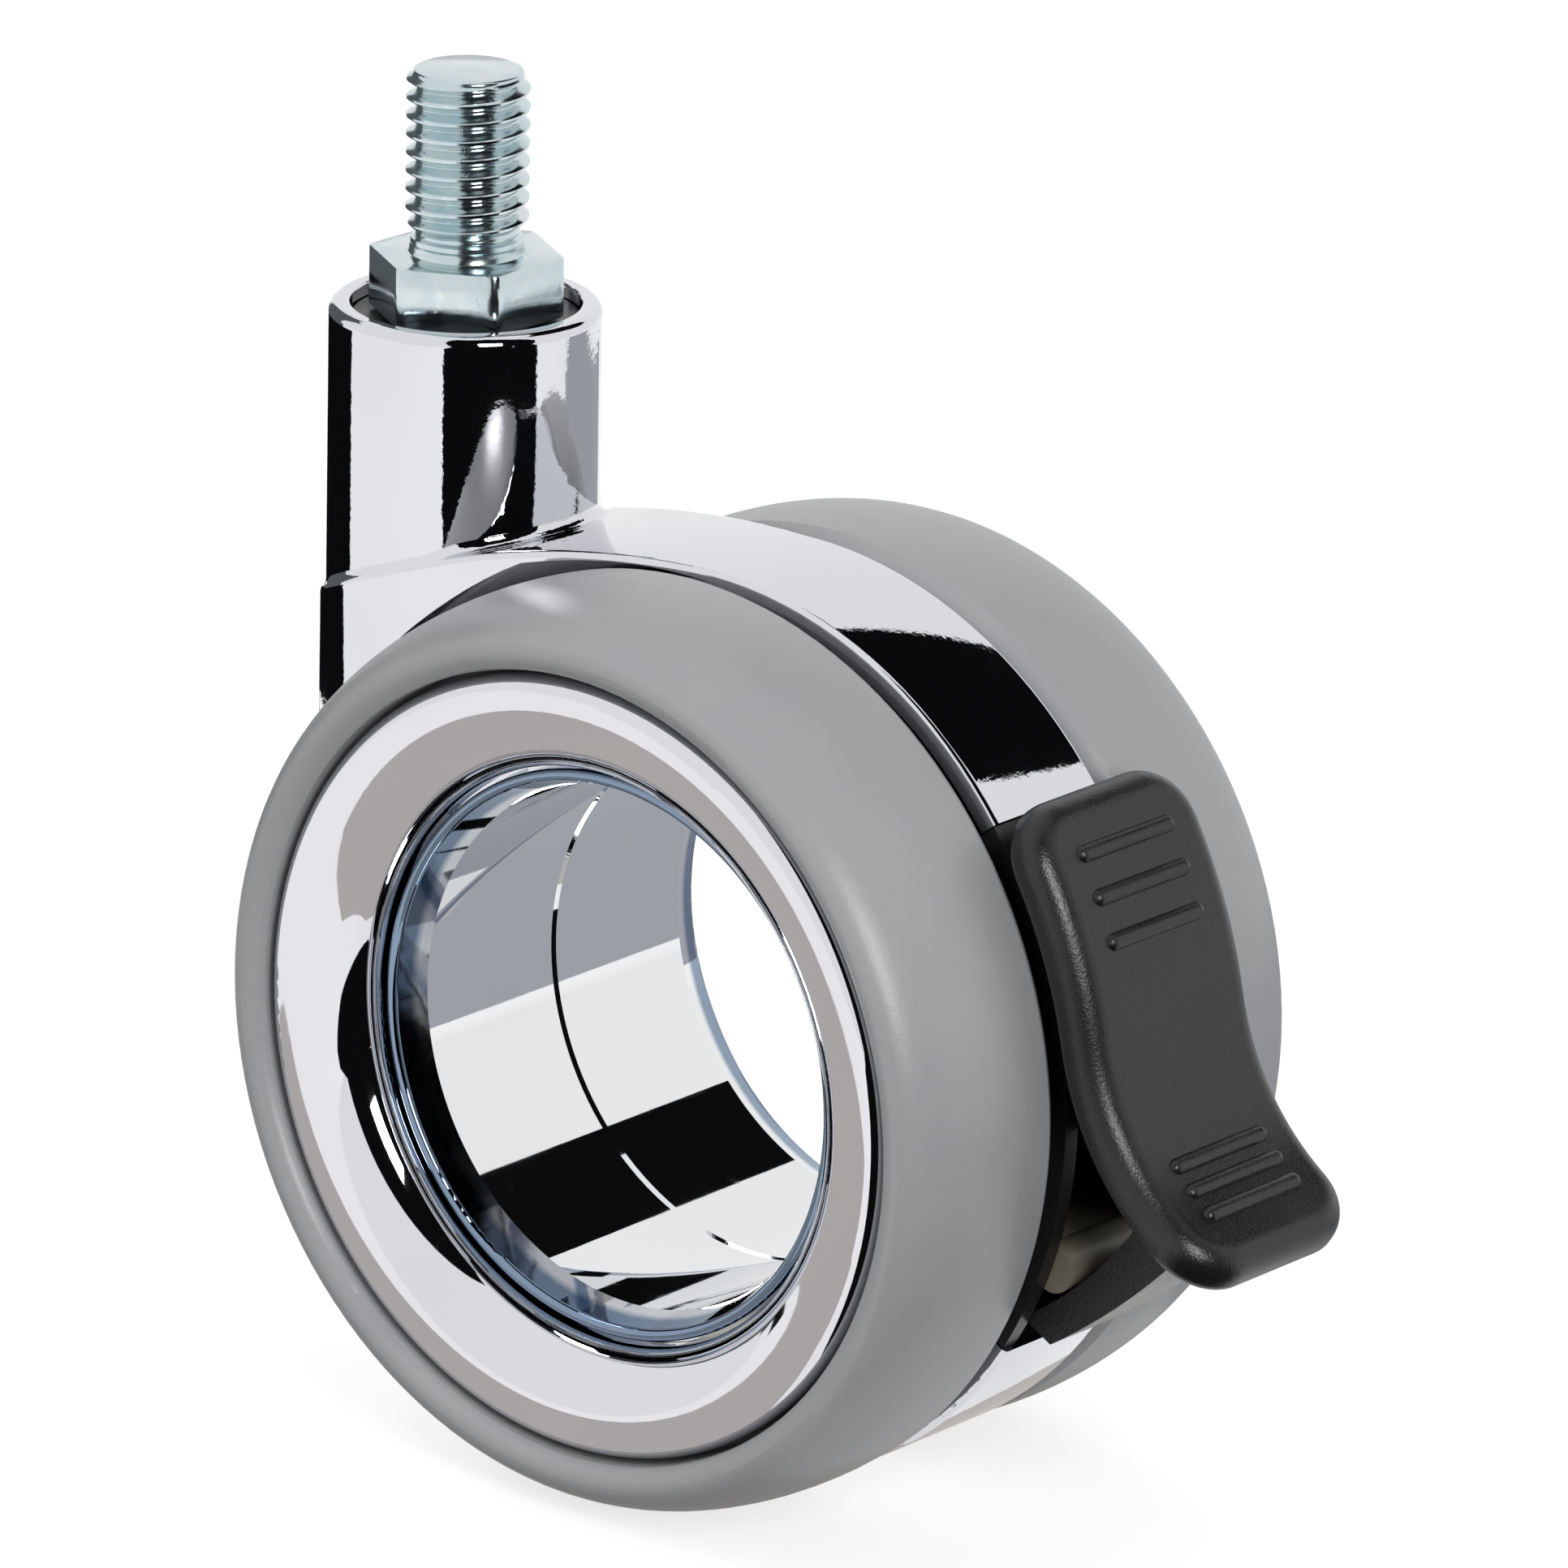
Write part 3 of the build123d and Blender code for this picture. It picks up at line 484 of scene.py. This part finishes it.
grey_tread = tread_material()
print("tread:", grey_tread.name)


# %% [markdown]
# The pedal is moulded in a spark-eroded tool, which leaves a fine black grain. The inner black pieces are
# the same plastic from a smoother tool. The locking bolt is natural white plastic, but here its colour is
# a dark warm grey: painted shade for the shadow it sits in. Each could have a material of its own, but
# only their colours, gloss and grain differ, so one function makes all three.

# %% Dark plastic
def dark_plastic_material(name, colours, gloss, grain_size, grain_depth):
    """Two shades mixed by the slow mask, with a lighter tone on worn edges, a gloss between
    two values of roughness, and the grain of the tool as a bump."""
    low, high, worn_colour = colours
    material, tree, shader, place = start_material(name, IOR=1.48)
    grain = place_group(tree, grain_group, place, Size=grain_size, Patch=0.007)
    wear = place_group(tree, edge_group, place, Level=0.54, Amount=0.35)
    shade = mix_colours(tree, grain.outputs["Mask"], low, high)
    worn = mix_colours(tree, wear.outputs["Mask"], shade, worn_colour)
    join(tree, worn, shader.inputs["Base Color"])
    roughness = ramp_value(tree, grain.outputs["Mask"], low=gloss[0], high=gloss[1], start=0.3, end=0.7)
    join(tree, roughness, shader.inputs["Roughness"])
    add_bump(tree, shader, [(grain.outputs["Height"], grain_depth)])
    return material


BLACKS = (srgb(21, 21, 22), srgb(27, 27, 28), srgb(52, 52, 54))
# Dark warm greys for the natural white locking bolt: painted shade, because the bolt sits in shadow
# behind the pedal.
PAINTED_SHADE_GREYS = (srgb(112, 107, 92), srgb(124, 119, 104), srgb(140, 135, 120))
pedal_black = dark_plastic_material("pedal_black", BLACKS, (0.26, 0.34), 0.00022, 0.00004)
inner_black = dark_plastic_material("inner_black", BLACKS, (0.28, 0.38), 0.0009, 0.000008)
painted_shade_natural = dark_plastic_material("painted_shade_natural", PAINTED_SHADE_GREYS, (0.30, 0.42), 0.0009, 0.000008)
print("dark plastic:", [m.name for m in (pedal_black, inner_black, painted_shade_natural)])


# %% [markdown]
# The lower bush and the slide rings are natural white plastic. Plain white would look like
# paint here too. The real plastic is slightly warm and waxy, because light sinks a little
# way into it, so the shader gets a short subsurface radius.

# %% White plastic
def white_plastic_material():
    """Warm white, waxy, with faint flow marks."""
    material, tree, shader, place = start_material("natural_white", IOR=1.48, Subsurface_Weight=0.15)
    shader.inputs["Subsurface Radius"].default_value = (0.001, 0.0009, 0.0006)
    grain = place_group(tree, grain_group, place, Size=0.0012, Patch=0.005)
    shade = mix_colours(tree, grain.outputs["Mask"], srgb(226, 222, 208), srgb(236, 234, 224))
    join(tree, shade, shader.inputs["Base Color"])
    gloss = ramp_value(tree, grain.outputs["Mask"], low=0.25, high=0.36)
    join(tree, gloss, shader.inputs["Roughness"])
    add_bump(tree, shader, [(grain.outputs["Height"], 0.000006)])
    return material


natural_white = white_plastic_material()
print("white plastic:", natural_white.name)


# %% [markdown]
# The stud is zinc plated. A plain grey metal would hide its character: fresh zinc is a
# silver that turns bluish where the passivation is thicker, and the faces of the hexagon
# are scratched by the spanner. So two tones are mixed by the slow mask, and scratches and
# worn edges show bare metal. The small rings, the pin and the detent spring are plain
# steel, and the same function makes that finish from greys.

# %% Zinc plating and plain steel
def plated_steel_material(name, light, dark, tint, bare, gloss):
    """Light and dark tone mixed by the slow mask, a tint where the grain is high, and bare
    metal on scratches, which are also cut into the surface, and on worn edges."""
    material, tree, shader, place = start_material(name, Metallic=1.0)
    grain = place_group(tree, grain_group, place, Size=0.0007, Patch=0.0035)
    scratches = place_group(tree, scratch_group, place, Amount=0.9)
    wear = place_group(tree, edge_group, place, Level=0.55, Amount=0.6)
    patches = mix_colours(tree, grain.outputs["Mask"], light, dark)
    tint_mask = ramp_value(tree, grain.outputs["Height"], low=0.0, high=0.5, start=0.5, end=0.75)
    tinted = mix_colours(tree, tint_mask, patches, tint)
    scratched = mix_colours(tree, scratches.outputs["Mask"], tinted, bare)
    worn = mix_colours(tree, wear.outputs["Mask"], scratched, bare)
    join(tree, worn, shader.inputs["Base Color"])
    roughness = ramp_value(tree, grain.outputs["Mask"], low=gloss[0], high=gloss[1], start=0.3, end=0.7)
    join(tree, roughness, shader.inputs["Roughness"])
    marks = [(grain.outputs["Height"], 0.00001), (scratches.outputs["Mask"], -0.000008)]
    add_bump(tree, shader, marks)
    return material


zinc_plated = plated_steel_material(
    "zinc_plated",
    light=srgb(219, 223, 221),
    dark=srgb(170, 197, 207),
    tint=srgb(206, 212, 204),
    bare=srgb(226, 229, 230),
    gloss=(0.10, 0.22),
)
spring_steel = plated_steel_material(
    "spring_steel",
    light=srgb(170, 170, 173),
    dark=srgb(140, 141, 145),
    tint=srgb(150, 148, 145),
    bare=srgb(205, 206, 208),
    gloss=(0.22, 0.36),
)
print("metal:", [m.name for m in (zinc_plated, spring_steel)])

# %% [markdown]
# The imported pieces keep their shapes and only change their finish. Each could be named in
# full, but front and rear pieces share a finish, so a part of the name is enough, and the
# first key that fits counts. The flange of the upper bush is the floor of the recess round
# the hexagon, which is dark, so it comes before the other bush.

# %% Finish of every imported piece
FINISHES = {
    "upper_swivel_bush": inner_black,
    "housing": cast_chrome,
    "face_ring": moulded_chrome,
    "bore_sleeve": bore_chrome,
    "tyre": grey_tread,
    "brake_pedal": pedal_black,
    "wheel_core": inner_black,
    "brake_carrier": inner_black,
    "bush": natural_white,
    "bearing_ring": natural_white,
    "brake_bolt": painted_shade_natural,
    "retaining_ring": spring_steel,
    "snap_ring": spring_steel,
    "pivot_pin": spring_steel,
    "detent_spring": spring_steel,
    "threaded_stem": zinc_plated,
}
for name, piece in nodes.items():
    finish = next(FINISHES[key] for key in FINISHES if key in name)
    piece.data.materials.clear()
    piece.data.materials.append(finish)
print("finishes set on", len(nodes), "pieces")

# %% [markdown]
# The stud is turned from one bar: a rolled thread, a hexagon for the spanner and a
# journal that hides in the neck. A screw modifier could wind a profile, but its ends stay
# open. Here the whole bar is one grid instead, because each section across it is a ring
# round the swivel axis, and only radius and height change along it. Collar, end face and
# journal are plain circles. All rings share the same angles, so that they can be joined.
# The angles start at a corner of the hexagon, and their steps are a multiple of six, so
# that each corner gets a point.

# %% Round rows of the bar
STEM_LOW, STEM_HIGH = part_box("threaded_stem")
STUD_TOP = STEM_HIGH.z
JOURNAL_END = STEM_LOW.z
HEXAGON_TURN = math.radians(29.0)
TURN_STEPS = 120
TURN_ANGLES = HEXAGON_TURN + np.linspace(0, 2 * np.pi, TURN_STEPS + 1)


def circle_rows(profile):
    """Rows of circles: one radius and one height for each pair, the same all round."""
    radius, height = np.array(profile).T
    shape = (len(profile), len(TURN_ANGLES))
    return np.broadcast_to(radius[:, None], shape), np.broadcast_to(height[:, None], shape)


print("stud top and journal end in mm:", round(STUD_TOP / MM, 2), round(JOURNAL_END / MM, 2))


# %% [markdown]
# The spanner holds the stud at its hexagon. That could be a separate prism, but as rows of
# the same grid it joins collar and journal without a gap. In a section its flats are
# straight lines, so the radius grows away from the middle of each flat, and the corners
# are a little blunted, as on drawn steel.

# %% Rows of the hexagon
HEXAGON_HALF_FLATS = 7.0 * MM
HEXAGON_CORNER = 7.97 * MM


def hexagon_rows(profile):
    """Rows of hexagons: half the flats less an inset, over the cosine of the angle from
    the middle of the nearest flat, and held at the blunted corner."""
    inset, height = np.array(profile).T
    from_middle = np.mod(TURN_ANGLES - HEXAGON_TURN, math.pi / 3) - math.pi / 6
    radius = (HEXAGON_HALF_FLATS - inset[:, None]) / np.cos(from_middle)[None, :]
    radius = np.minimum(radius, HEXAGON_CORNER - inset[:, None])
    return radius, np.broadcast_to(height[:, None], radius.shape)


print("hexagon across flats in mm:", round(2 * HEXAGON_HALF_FLATS / MM, 2))


# %% [markdown]
# The thread is rolled: crests with a narrow flat, slanted flanks and a rounded root. Rings
# stacked one on the other would look nearly the same, but they don't climb. A real thread
# rises by one pitch in a turn, so its rows aren't level but follow the helix, and where
# they would leave the threaded length they are held at its ends.

# %% Rows of the thread
THREAD_PITCH = 1.5 * MM
CREST_RADIUS = 4.97 * MM
ROOT_RADIUS = 4.1 * MM
THREAD_PHASE = 0.56 * MM
THREAD_START = 1.45 * MM
THREAD_RUN_OUT = 1.2 * MM
END_RADIUS = 4.4 * MM
END_EDGE = 0.12 * MM
END_LAND = 0.5 * MM
END_SLOPE = 0.9
CREST_SHARE = 0.13
FLANK_SHARE = 0.79
ROUND_SHARE = 0.35
ROWS_PER_TURN = 16
TURNS_BELOW = 3


def thread_rows(top):
    """Helix: the height is the phase plus the pitch times turns, share of a turn and angle.

    The share runs across one pitch, with the crest at its middle. Of half a pitch, the
    crest share is flat and the flank share falls to the root, along a mix of a straight
    line and a cosine, which rounds the root as a rolled thread is. At the lower end the
    ridge fades into the root, and at the top it ends in a full rim.
    """
    share = np.linspace(0, 1, ROWS_PER_TURN, endpoint=False)
    turns = np.arange(-TURNS_BELOW, math.ceil(top / THREAD_PITCH) + 1)
    rows = (turns[:, None] + share[None, :]).ravel()
    z = THREAD_PHASE + THREAD_PITCH * (rows[:, None] + TURN_ANGLES[None, :] / (2 * np.pi))
    z = np.clip(z, THREAD_START, top)
    from_crest = np.abs(np.mod(rows, 1) - 0.5) * 2
    fall = np.clip((from_crest - CREST_SHARE) / FLANK_SHARE, 0, 1)
    depth = 0.5 * (1 - np.cos(np.pi * fall)) * ROUND_SHARE + fall * (1 - ROUND_SHARE)
    ridge = (CREST_RADIUS - ROOT_RADIUS) * (1 - depth)[:, None]
    radius = ROOT_RADIUS + ridge * np.clip((z - THREAD_START) / THREAD_RUN_OUT, 0, 1)
    radius = np.minimum(radius, END_RADIUS + (top - z) * END_SLOPE)
    rim = np.clip((top - z) / END_LAND, 0, 1)
    rim = rim * rim * (3 - 2 * rim)
    return (END_RADIUS + (radius - END_RADIUS) * rim)[::-1], z[::-1]


print("rows of the thread:", len(thread_rows(STUD_TOP - END_EDGE)[0]))


# %% [markdown]
# Put one below the other, the rings are one closed surface from the tip to the hidden end
# of the journal, with a pole at either end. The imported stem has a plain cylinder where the
# thread is, so this bar takes its place and rides on the same body. Edges that turn by
# more than the sharp angle stay crisp, and all others are shaded smooth.

# %% Mesh of the bar
COLLAR_UPPER_MM = [(4.15, 1.4), (4.52, 1.28), (4.54, 0.92), (4.44, 0.84)]
COLLAR_LOWER_MM = [(4.6, 0.74), (4.62, 0.18), (4.7, 0.04), (4.95, 0.0)]
HEXAGON_HEIGHT = 5.0 * MM
HEXAGON_EDGE = 0.22 * MM
EDGE_ROUNDNESS = 0.3
JOURNAL_RADIUS = 6.0 * MM
JOURNAL_CHAMFER = 0.5 * MM
SHARP_ANGLE = math.radians(38)


def stud_grid():
    """All rows from the pole of the end face down to the pole of the journal."""
    top = STUD_TOP - END_EDGE
    end_face = [
        (0.0, STUD_TOP),
        (END_RADIUS - 2 * END_EDGE, STUD_TOP),
        (END_RADIUS - END_EDGE / 3, top + END_EDGE / 3),
    ]
    collar = np.array(COLLAR_UPPER_MM + COLLAR_LOWER_MM) * MM
    middle = HEXAGON_EDGE * EDGE_ROUNDNESS
    flats = [(HEXAGON_EDGE, 0.0), (middle, -middle), (0.0, -HEXAGON_EDGE)]
    lower_flats = [(inset, -HEXAGON_HEIGHT - z) for inset, z in flats[::-1]]
    journal = [
        (JOURNAL_RADIUS, -HEXAGON_HEIGHT),
        (JOURNAL_RADIUS, JOURNAL_END + JOURNAL_CHAMFER),
        (JOURNAL_RADIUS - JOURNAL_CHAMFER, JOURNAL_END),
        (0.0, JOURNAL_END),
    ]
    rings = [
        circle_rows(end_face),
        thread_rows(top),
        circle_rows(collar),
        hexagon_rows(flats + lower_flats),
        circle_rows(journal),
    ]
    radius = np.vstack([ring[0] for ring in rings])
    z = np.vstack([ring[1] for ring in rings])
    return np.stack([radius * np.cos(TURN_ANGLES), radius * np.sin(TURN_ANGLES), z], axis=2)


bar = stud_grid()
stud = new_piece("stud_with_thread", bar, grid_faces(*bar.shape[:2]), "stem")
stud.data.materials.append(zinc_plated)
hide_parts("threaded_stem")
stud.data.set_sharp_from_angle(angle=SHARP_ANGLE)

# %% [markdown]
# The studio is white all round. It could be lit until everything behind the castor burns
# out, but then the pale chrome would burn out too. Instead the world is white only for
# what looks at it directly, which is the camera, a mirror or glass, and gives a softer
# light to everything else.

# %% World
SCENE = bpy.context.scene
SCENE.view_settings.view_transform = "Standard"


def seen_directly(tree):
    """One for rays from the camera, from mirrors and through glass, else zero."""
    path = add_node(tree, "ShaderNodeLightPath")
    either = add_node(tree, "ShaderNodeMath", operation="MAXIMUM")
    join(tree, path.outputs["Is Camera Ray"], either.inputs[0])
    join(tree, path.outputs["Is Glossy Ray"], either.inputs[1])
    all_three = add_node(tree, "ShaderNodeMath", operation="MAXIMUM")
    join(tree, either.outputs[0], all_three.inputs[0])
    join(tree, path.outputs["Is Transmission Ray"], all_three.inputs[1])
    return all_three.outputs[0]


def build_world(ambient):
    """Strength one where it is seen directly, and the ambient value for the fill light."""
    world = bpy.data.worlds.new("studio")
    world.use_nodes = True
    tree = world.node_tree
    background = tree.nodes["Background"]
    background.inputs["Color"].default_value = (1.0, 1.0, 1.0, 1.0)
    strength = ramp_value(tree, seen_directly(tree), low=ambient, high=1.0)
    join(tree, strength, background.inputs["Strength"])
    SCENE.world = world
    return world


world = build_world(ambient=0.70)
print("world:", world.name)


# %% [markdown]
# The castor stands on a white floor that shows only a soft shadow. A plain white floor
# would turn grey where the lamps don't reach it, and a glowing one would swallow the
# shadow. This one does both: the lamps light its grey, and an even glow lifts the sum to
# white for what looks at it directly.

# %% Floor
def stage_mesh(name, points, faces):
    """A mesh that belongs to the studio."""
    mesh = bpy.data.meshes.new(name)
    mesh.from_pydata([list(map(float, p)) for p in points], [], faces)
    piece = bpy.data.objects.new(name, mesh)
    SCENE.collection.objects.link(piece)
    return piece


def build_floor(half_size, grey, glow):
    """Square floor: a grey that takes light and shadow, and a glow for direct looks."""
    signs = ((-1, -1), (1, -1), (1, 1), (-1, 1))
    corners = [(half_size * x, half_size * y, FLOOR_Z) for x, y in signs]
    floor = stage_mesh("floor", corners, [(0, 1, 2, 3)])
    material, tree, shader, _ = start_material("pale_floor", Roughness=0.9, Specular_IOR_Level=0.0)
    shader.inputs["Base Color"].default_value = (grey, grey, grey, 1.0)
    shader.inputs["Emission Color"].default_value = (1.0, 1.0, 1.0, 1.0)
    strength = ramp_value(tree, seen_directly(tree), low=0.0, high=glow)
    join(tree, strength, shader.inputs["Emission Strength"])
    floor.data.materials.append(material)
    return floor


floor = build_floor(half_size=3.0, grey=0.36, glow=0.745)
print(floor.name, "at z in mm:", round(FLOOR_Z / MM, 2))


# %% [markdown]
# Four soft lamps shape the matt pieces: one from the upper left, one from the right for
# the crowns of the tyres, and two from behind for the rims. Small bare lamps would give
# hard shadows, so each is a large rectangle. The chrome could mirror them all, but each
# would leave a hot patch, so only the right one is seen by mirror rays.

# %% Lamps
def softbox(name, direction, distance, size, power, in_mirrors=True):
    """A rectangular lamp that looks at the wheels from an azimuth and an elevation."""
    data = bpy.data.lights.new(name, "AREA")
    data.shape = "RECTANGLE"
    data.size = size[0]
    data.size_y = size[1]
    data.energy = power
    lamp = bpy.data.objects.new(name, data)
    SCENE.collection.objects.link(lamp)
    lamp.visible_glossy = in_mirrors
    away = unit_from_angles(math.radians(direction[0]), math.radians(direction[1]))
    side = np.cross([0.0, 0.0, 1.0], away)
    side = side / np.linalg.norm(side)
    matrix = np.eye(4)
    matrix[:3, 0] = side
    matrix[:3, 1] = np.cross(away, side)
    matrix[:3, 2] = away
    matrix[:3, 3] = np.array([HUB_X, 0.0, HUB_Z]) + away * distance
    lamp.matrix_world = matrix.T.tolist()
    return lamp


lamps = [
    softbox("softbox_top_left", (-35, 50), distance=1.2, size=(0.9, 0.7), power=2.5, in_mirrors=False),
    softbox("softbox_right", (61, 26), distance=0.9, size=(0.26, 0.40), power=5.2),
    softbox("softbox_back_left", (-122, 20), distance=1.0, size=(0.4, 0.25), power=2.0, in_mirrors=False),
    softbox("softbox_back", (165, 60), distance=1.2, size=(0.8, 0.5), power=0.6, in_mirrors=False),
]
print("lamps:", [lamp.name for lamp in lamps])


# %% [markdown]
# Mirror metal only looks like metal if it has something dark to reflect. The photograph's
# reflections say where it stood: a ray from the camera, mirrored at a point of the neck,
# the wheel's face or the bore, runs on to a place on the floor or a direction in the sky.
# Dark panels could stand there, but they would shade the floor. So cards lie on the floor
# and hang round the castor that only reflections meet. The large one on the right also
# holds back the fill light, as it would in a studio.

# %% Finish of the cards
def card_material(name, value):
    """Plain glow of one tone, so that the card looks the same from every side."""
    material = bpy.data.materials.new(name)
    material.use_nodes = True
    tree = material.node_tree
    tree.nodes.remove(tree.nodes["Principled BSDF"])
    glow = add_node(tree, "ShaderNodeEmission", {"Color": value, "Strength": 1.0})
    join(tree, glow.outputs[0], tree.nodes["Material Output"].inputs["Surface"])
    return material


BLACK_CARD = card_material("black_card", srgb(14, 14, 15))
TAUPE_CARD = card_material("taupe_card", srgb(196, 192, 187))
GREY_CARD = card_material("grey_card", srgb(174, 175, 183))
DIM_CARD = card_material("dim_card", srgb(92, 98, 100))
print("tones of the cards:", [m.name for m in (BLACK_CARD, TAUPE_CARD, GREY_CARD, DIM_CARD)])


# %% [markdown]
# Cards come in three shapes. A flat outline lies on the floor, for what the wheel's face
# and the bore mirror. A fan is a sector of the floor about the swivel axis, which gives the
# neck an edge of even width. A patch of sky stands for what is mirrored from above. Upright
# boards would do as well, but a place on the floor or in the sky is what the mirror
# geometry gives, so it can be used as it is.

# %% Shapes of the cards
def only_in_reflections(piece, material, shades=False):
    """Show a stage piece to mirror rays, and to the fill light where it shades."""
    piece.data.materials.append(material)
    piece.visible_camera = False
    piece.visible_diffuse = shades
    piece.visible_transmission = False
    piece.visible_volume_scatter = False
    piece.visible_shadow = False
    return piece


def floor_card(name, material, outline_mm, lift_mm):
    """A flat card on the floor, from its outline in millimetres."""
    points = [(x * MM, y * MM, FLOOR_Z + lift_mm * MM) for x, y in outline_mm]
    return only_in_reflections(stage_mesh(name, points, [tuple(range(len(points)))]), material)


def floor_fan(name, material, azimuths, reach_mm, lift_mm, steps=12):
    """A sector of the floor: both reaches times the sine and minus the cosine of azimuth."""
    angles = np.radians(np.linspace(azimuths[0], azimuths[1], steps))
    ring = np.stack([np.sin(angles), -np.cos(angles)], axis=1)
    outline = np.vstack([ring * reach_mm[0], ring[::-1] * reach_mm[1]])
    return floor_card(name, material, outline.tolist(), lift_mm)


def sky_card(name, material, low_edge, high_edge, shades=False, distance=2.0, steps=16):
    """A patch of a sphere. Each edge is (start azimuth, end azimuth, elevation), and points
    between the edges go by equal shares in elevation and then in azimuth."""
    share = np.linspace(0, 1, steps)
    edge = np.array(low_edge) + (np.array(high_edge) - np.array(low_edge)) * share[:, None]
    azimuths = np.radians(edge[:, :1] + (edge[:, 1:2] - edge[:, :1]) * share[None, :])
    elevations = np.radians(edge[:, 2:3]) + 0 * azimuths
    flat = np.cos(elevations)
    directions = np.stack([np.sin(azimuths) * flat, -np.cos(azimuths) * flat, np.sin(elevations)], axis=2)
    points = directions.reshape(-1, 3) * distance + np.array([HUB_X, 0.0, HUB_Z])
    faces = [tuple(map(int, f)) for f in grid_faces(steps, steps)]
    return only_in_reflections(stage_mesh(name, points, faces), material, shades)


# %% [markdown]
# Taupe lies in front of the wheel's face and to its left, and grey behind, for the bore
# and the right side of the neck. Black on the right is for the middle of the neck and the
# hollow of the face. The fans and the dim card on the left darken the left edges of neck
# and hexagon, and the black card behind is what the band over the wheels mirrors.

# %% Places of the cards
TAUPE_OUTLINE_MM = [
    (52, -39), (32, -80), (-20, -100), (-56, -106), (-82, -78),
    (-108, -30), (-144, 30), (-144, 200), (52, 200),
]
GREY_OUTLINE_MM = [(-60, 36), (70, 36), (225, 195), (225, 290), (-60, 290)]
BLACK_OUTLINE_MM = [
    (62, -28), (66, -60), (70, -110), (99, -229), (160, -370),
    (1100, -1900), (2200, -400), (900, 0), (390, 90), (150, 34), (90, 10),
]
cards = [
    floor_card("taupe_floor_card", TAUPE_CARD, TAUPE_OUTLINE_MM, lift_mm=0.5),
    floor_card("grey_floor_card", GREY_CARD, GREY_OUTLINE_MM, lift_mm=0.7),
    floor_card("black_floor_card", BLACK_CARD, BLACK_OUTLINE_MM, lift_mm=0.9),
    floor_fan("black_left_fan", BLACK_CARD, azimuths=(-128, -68), reach_mm=(172, 330), lift_mm=0.8),
    floor_fan("dim_left_fan", DIM_CARD, azimuths=(-122, -80), reach_mm=(330, 2000), lift_mm=0.8),
    sky_card("black_right_card", BLACK_CARD, (30, 105, -3), (15, 105, 80), shades=True),
    sky_card("dim_left_card", DIM_CARD, (-118, -84, -3), (-118, -84, 40)),
    sky_card("black_back_card", BLACK_CARD, (162, 174, 27), (124, 222, 62)),
]
print("cards:", [card.name for card in cards])
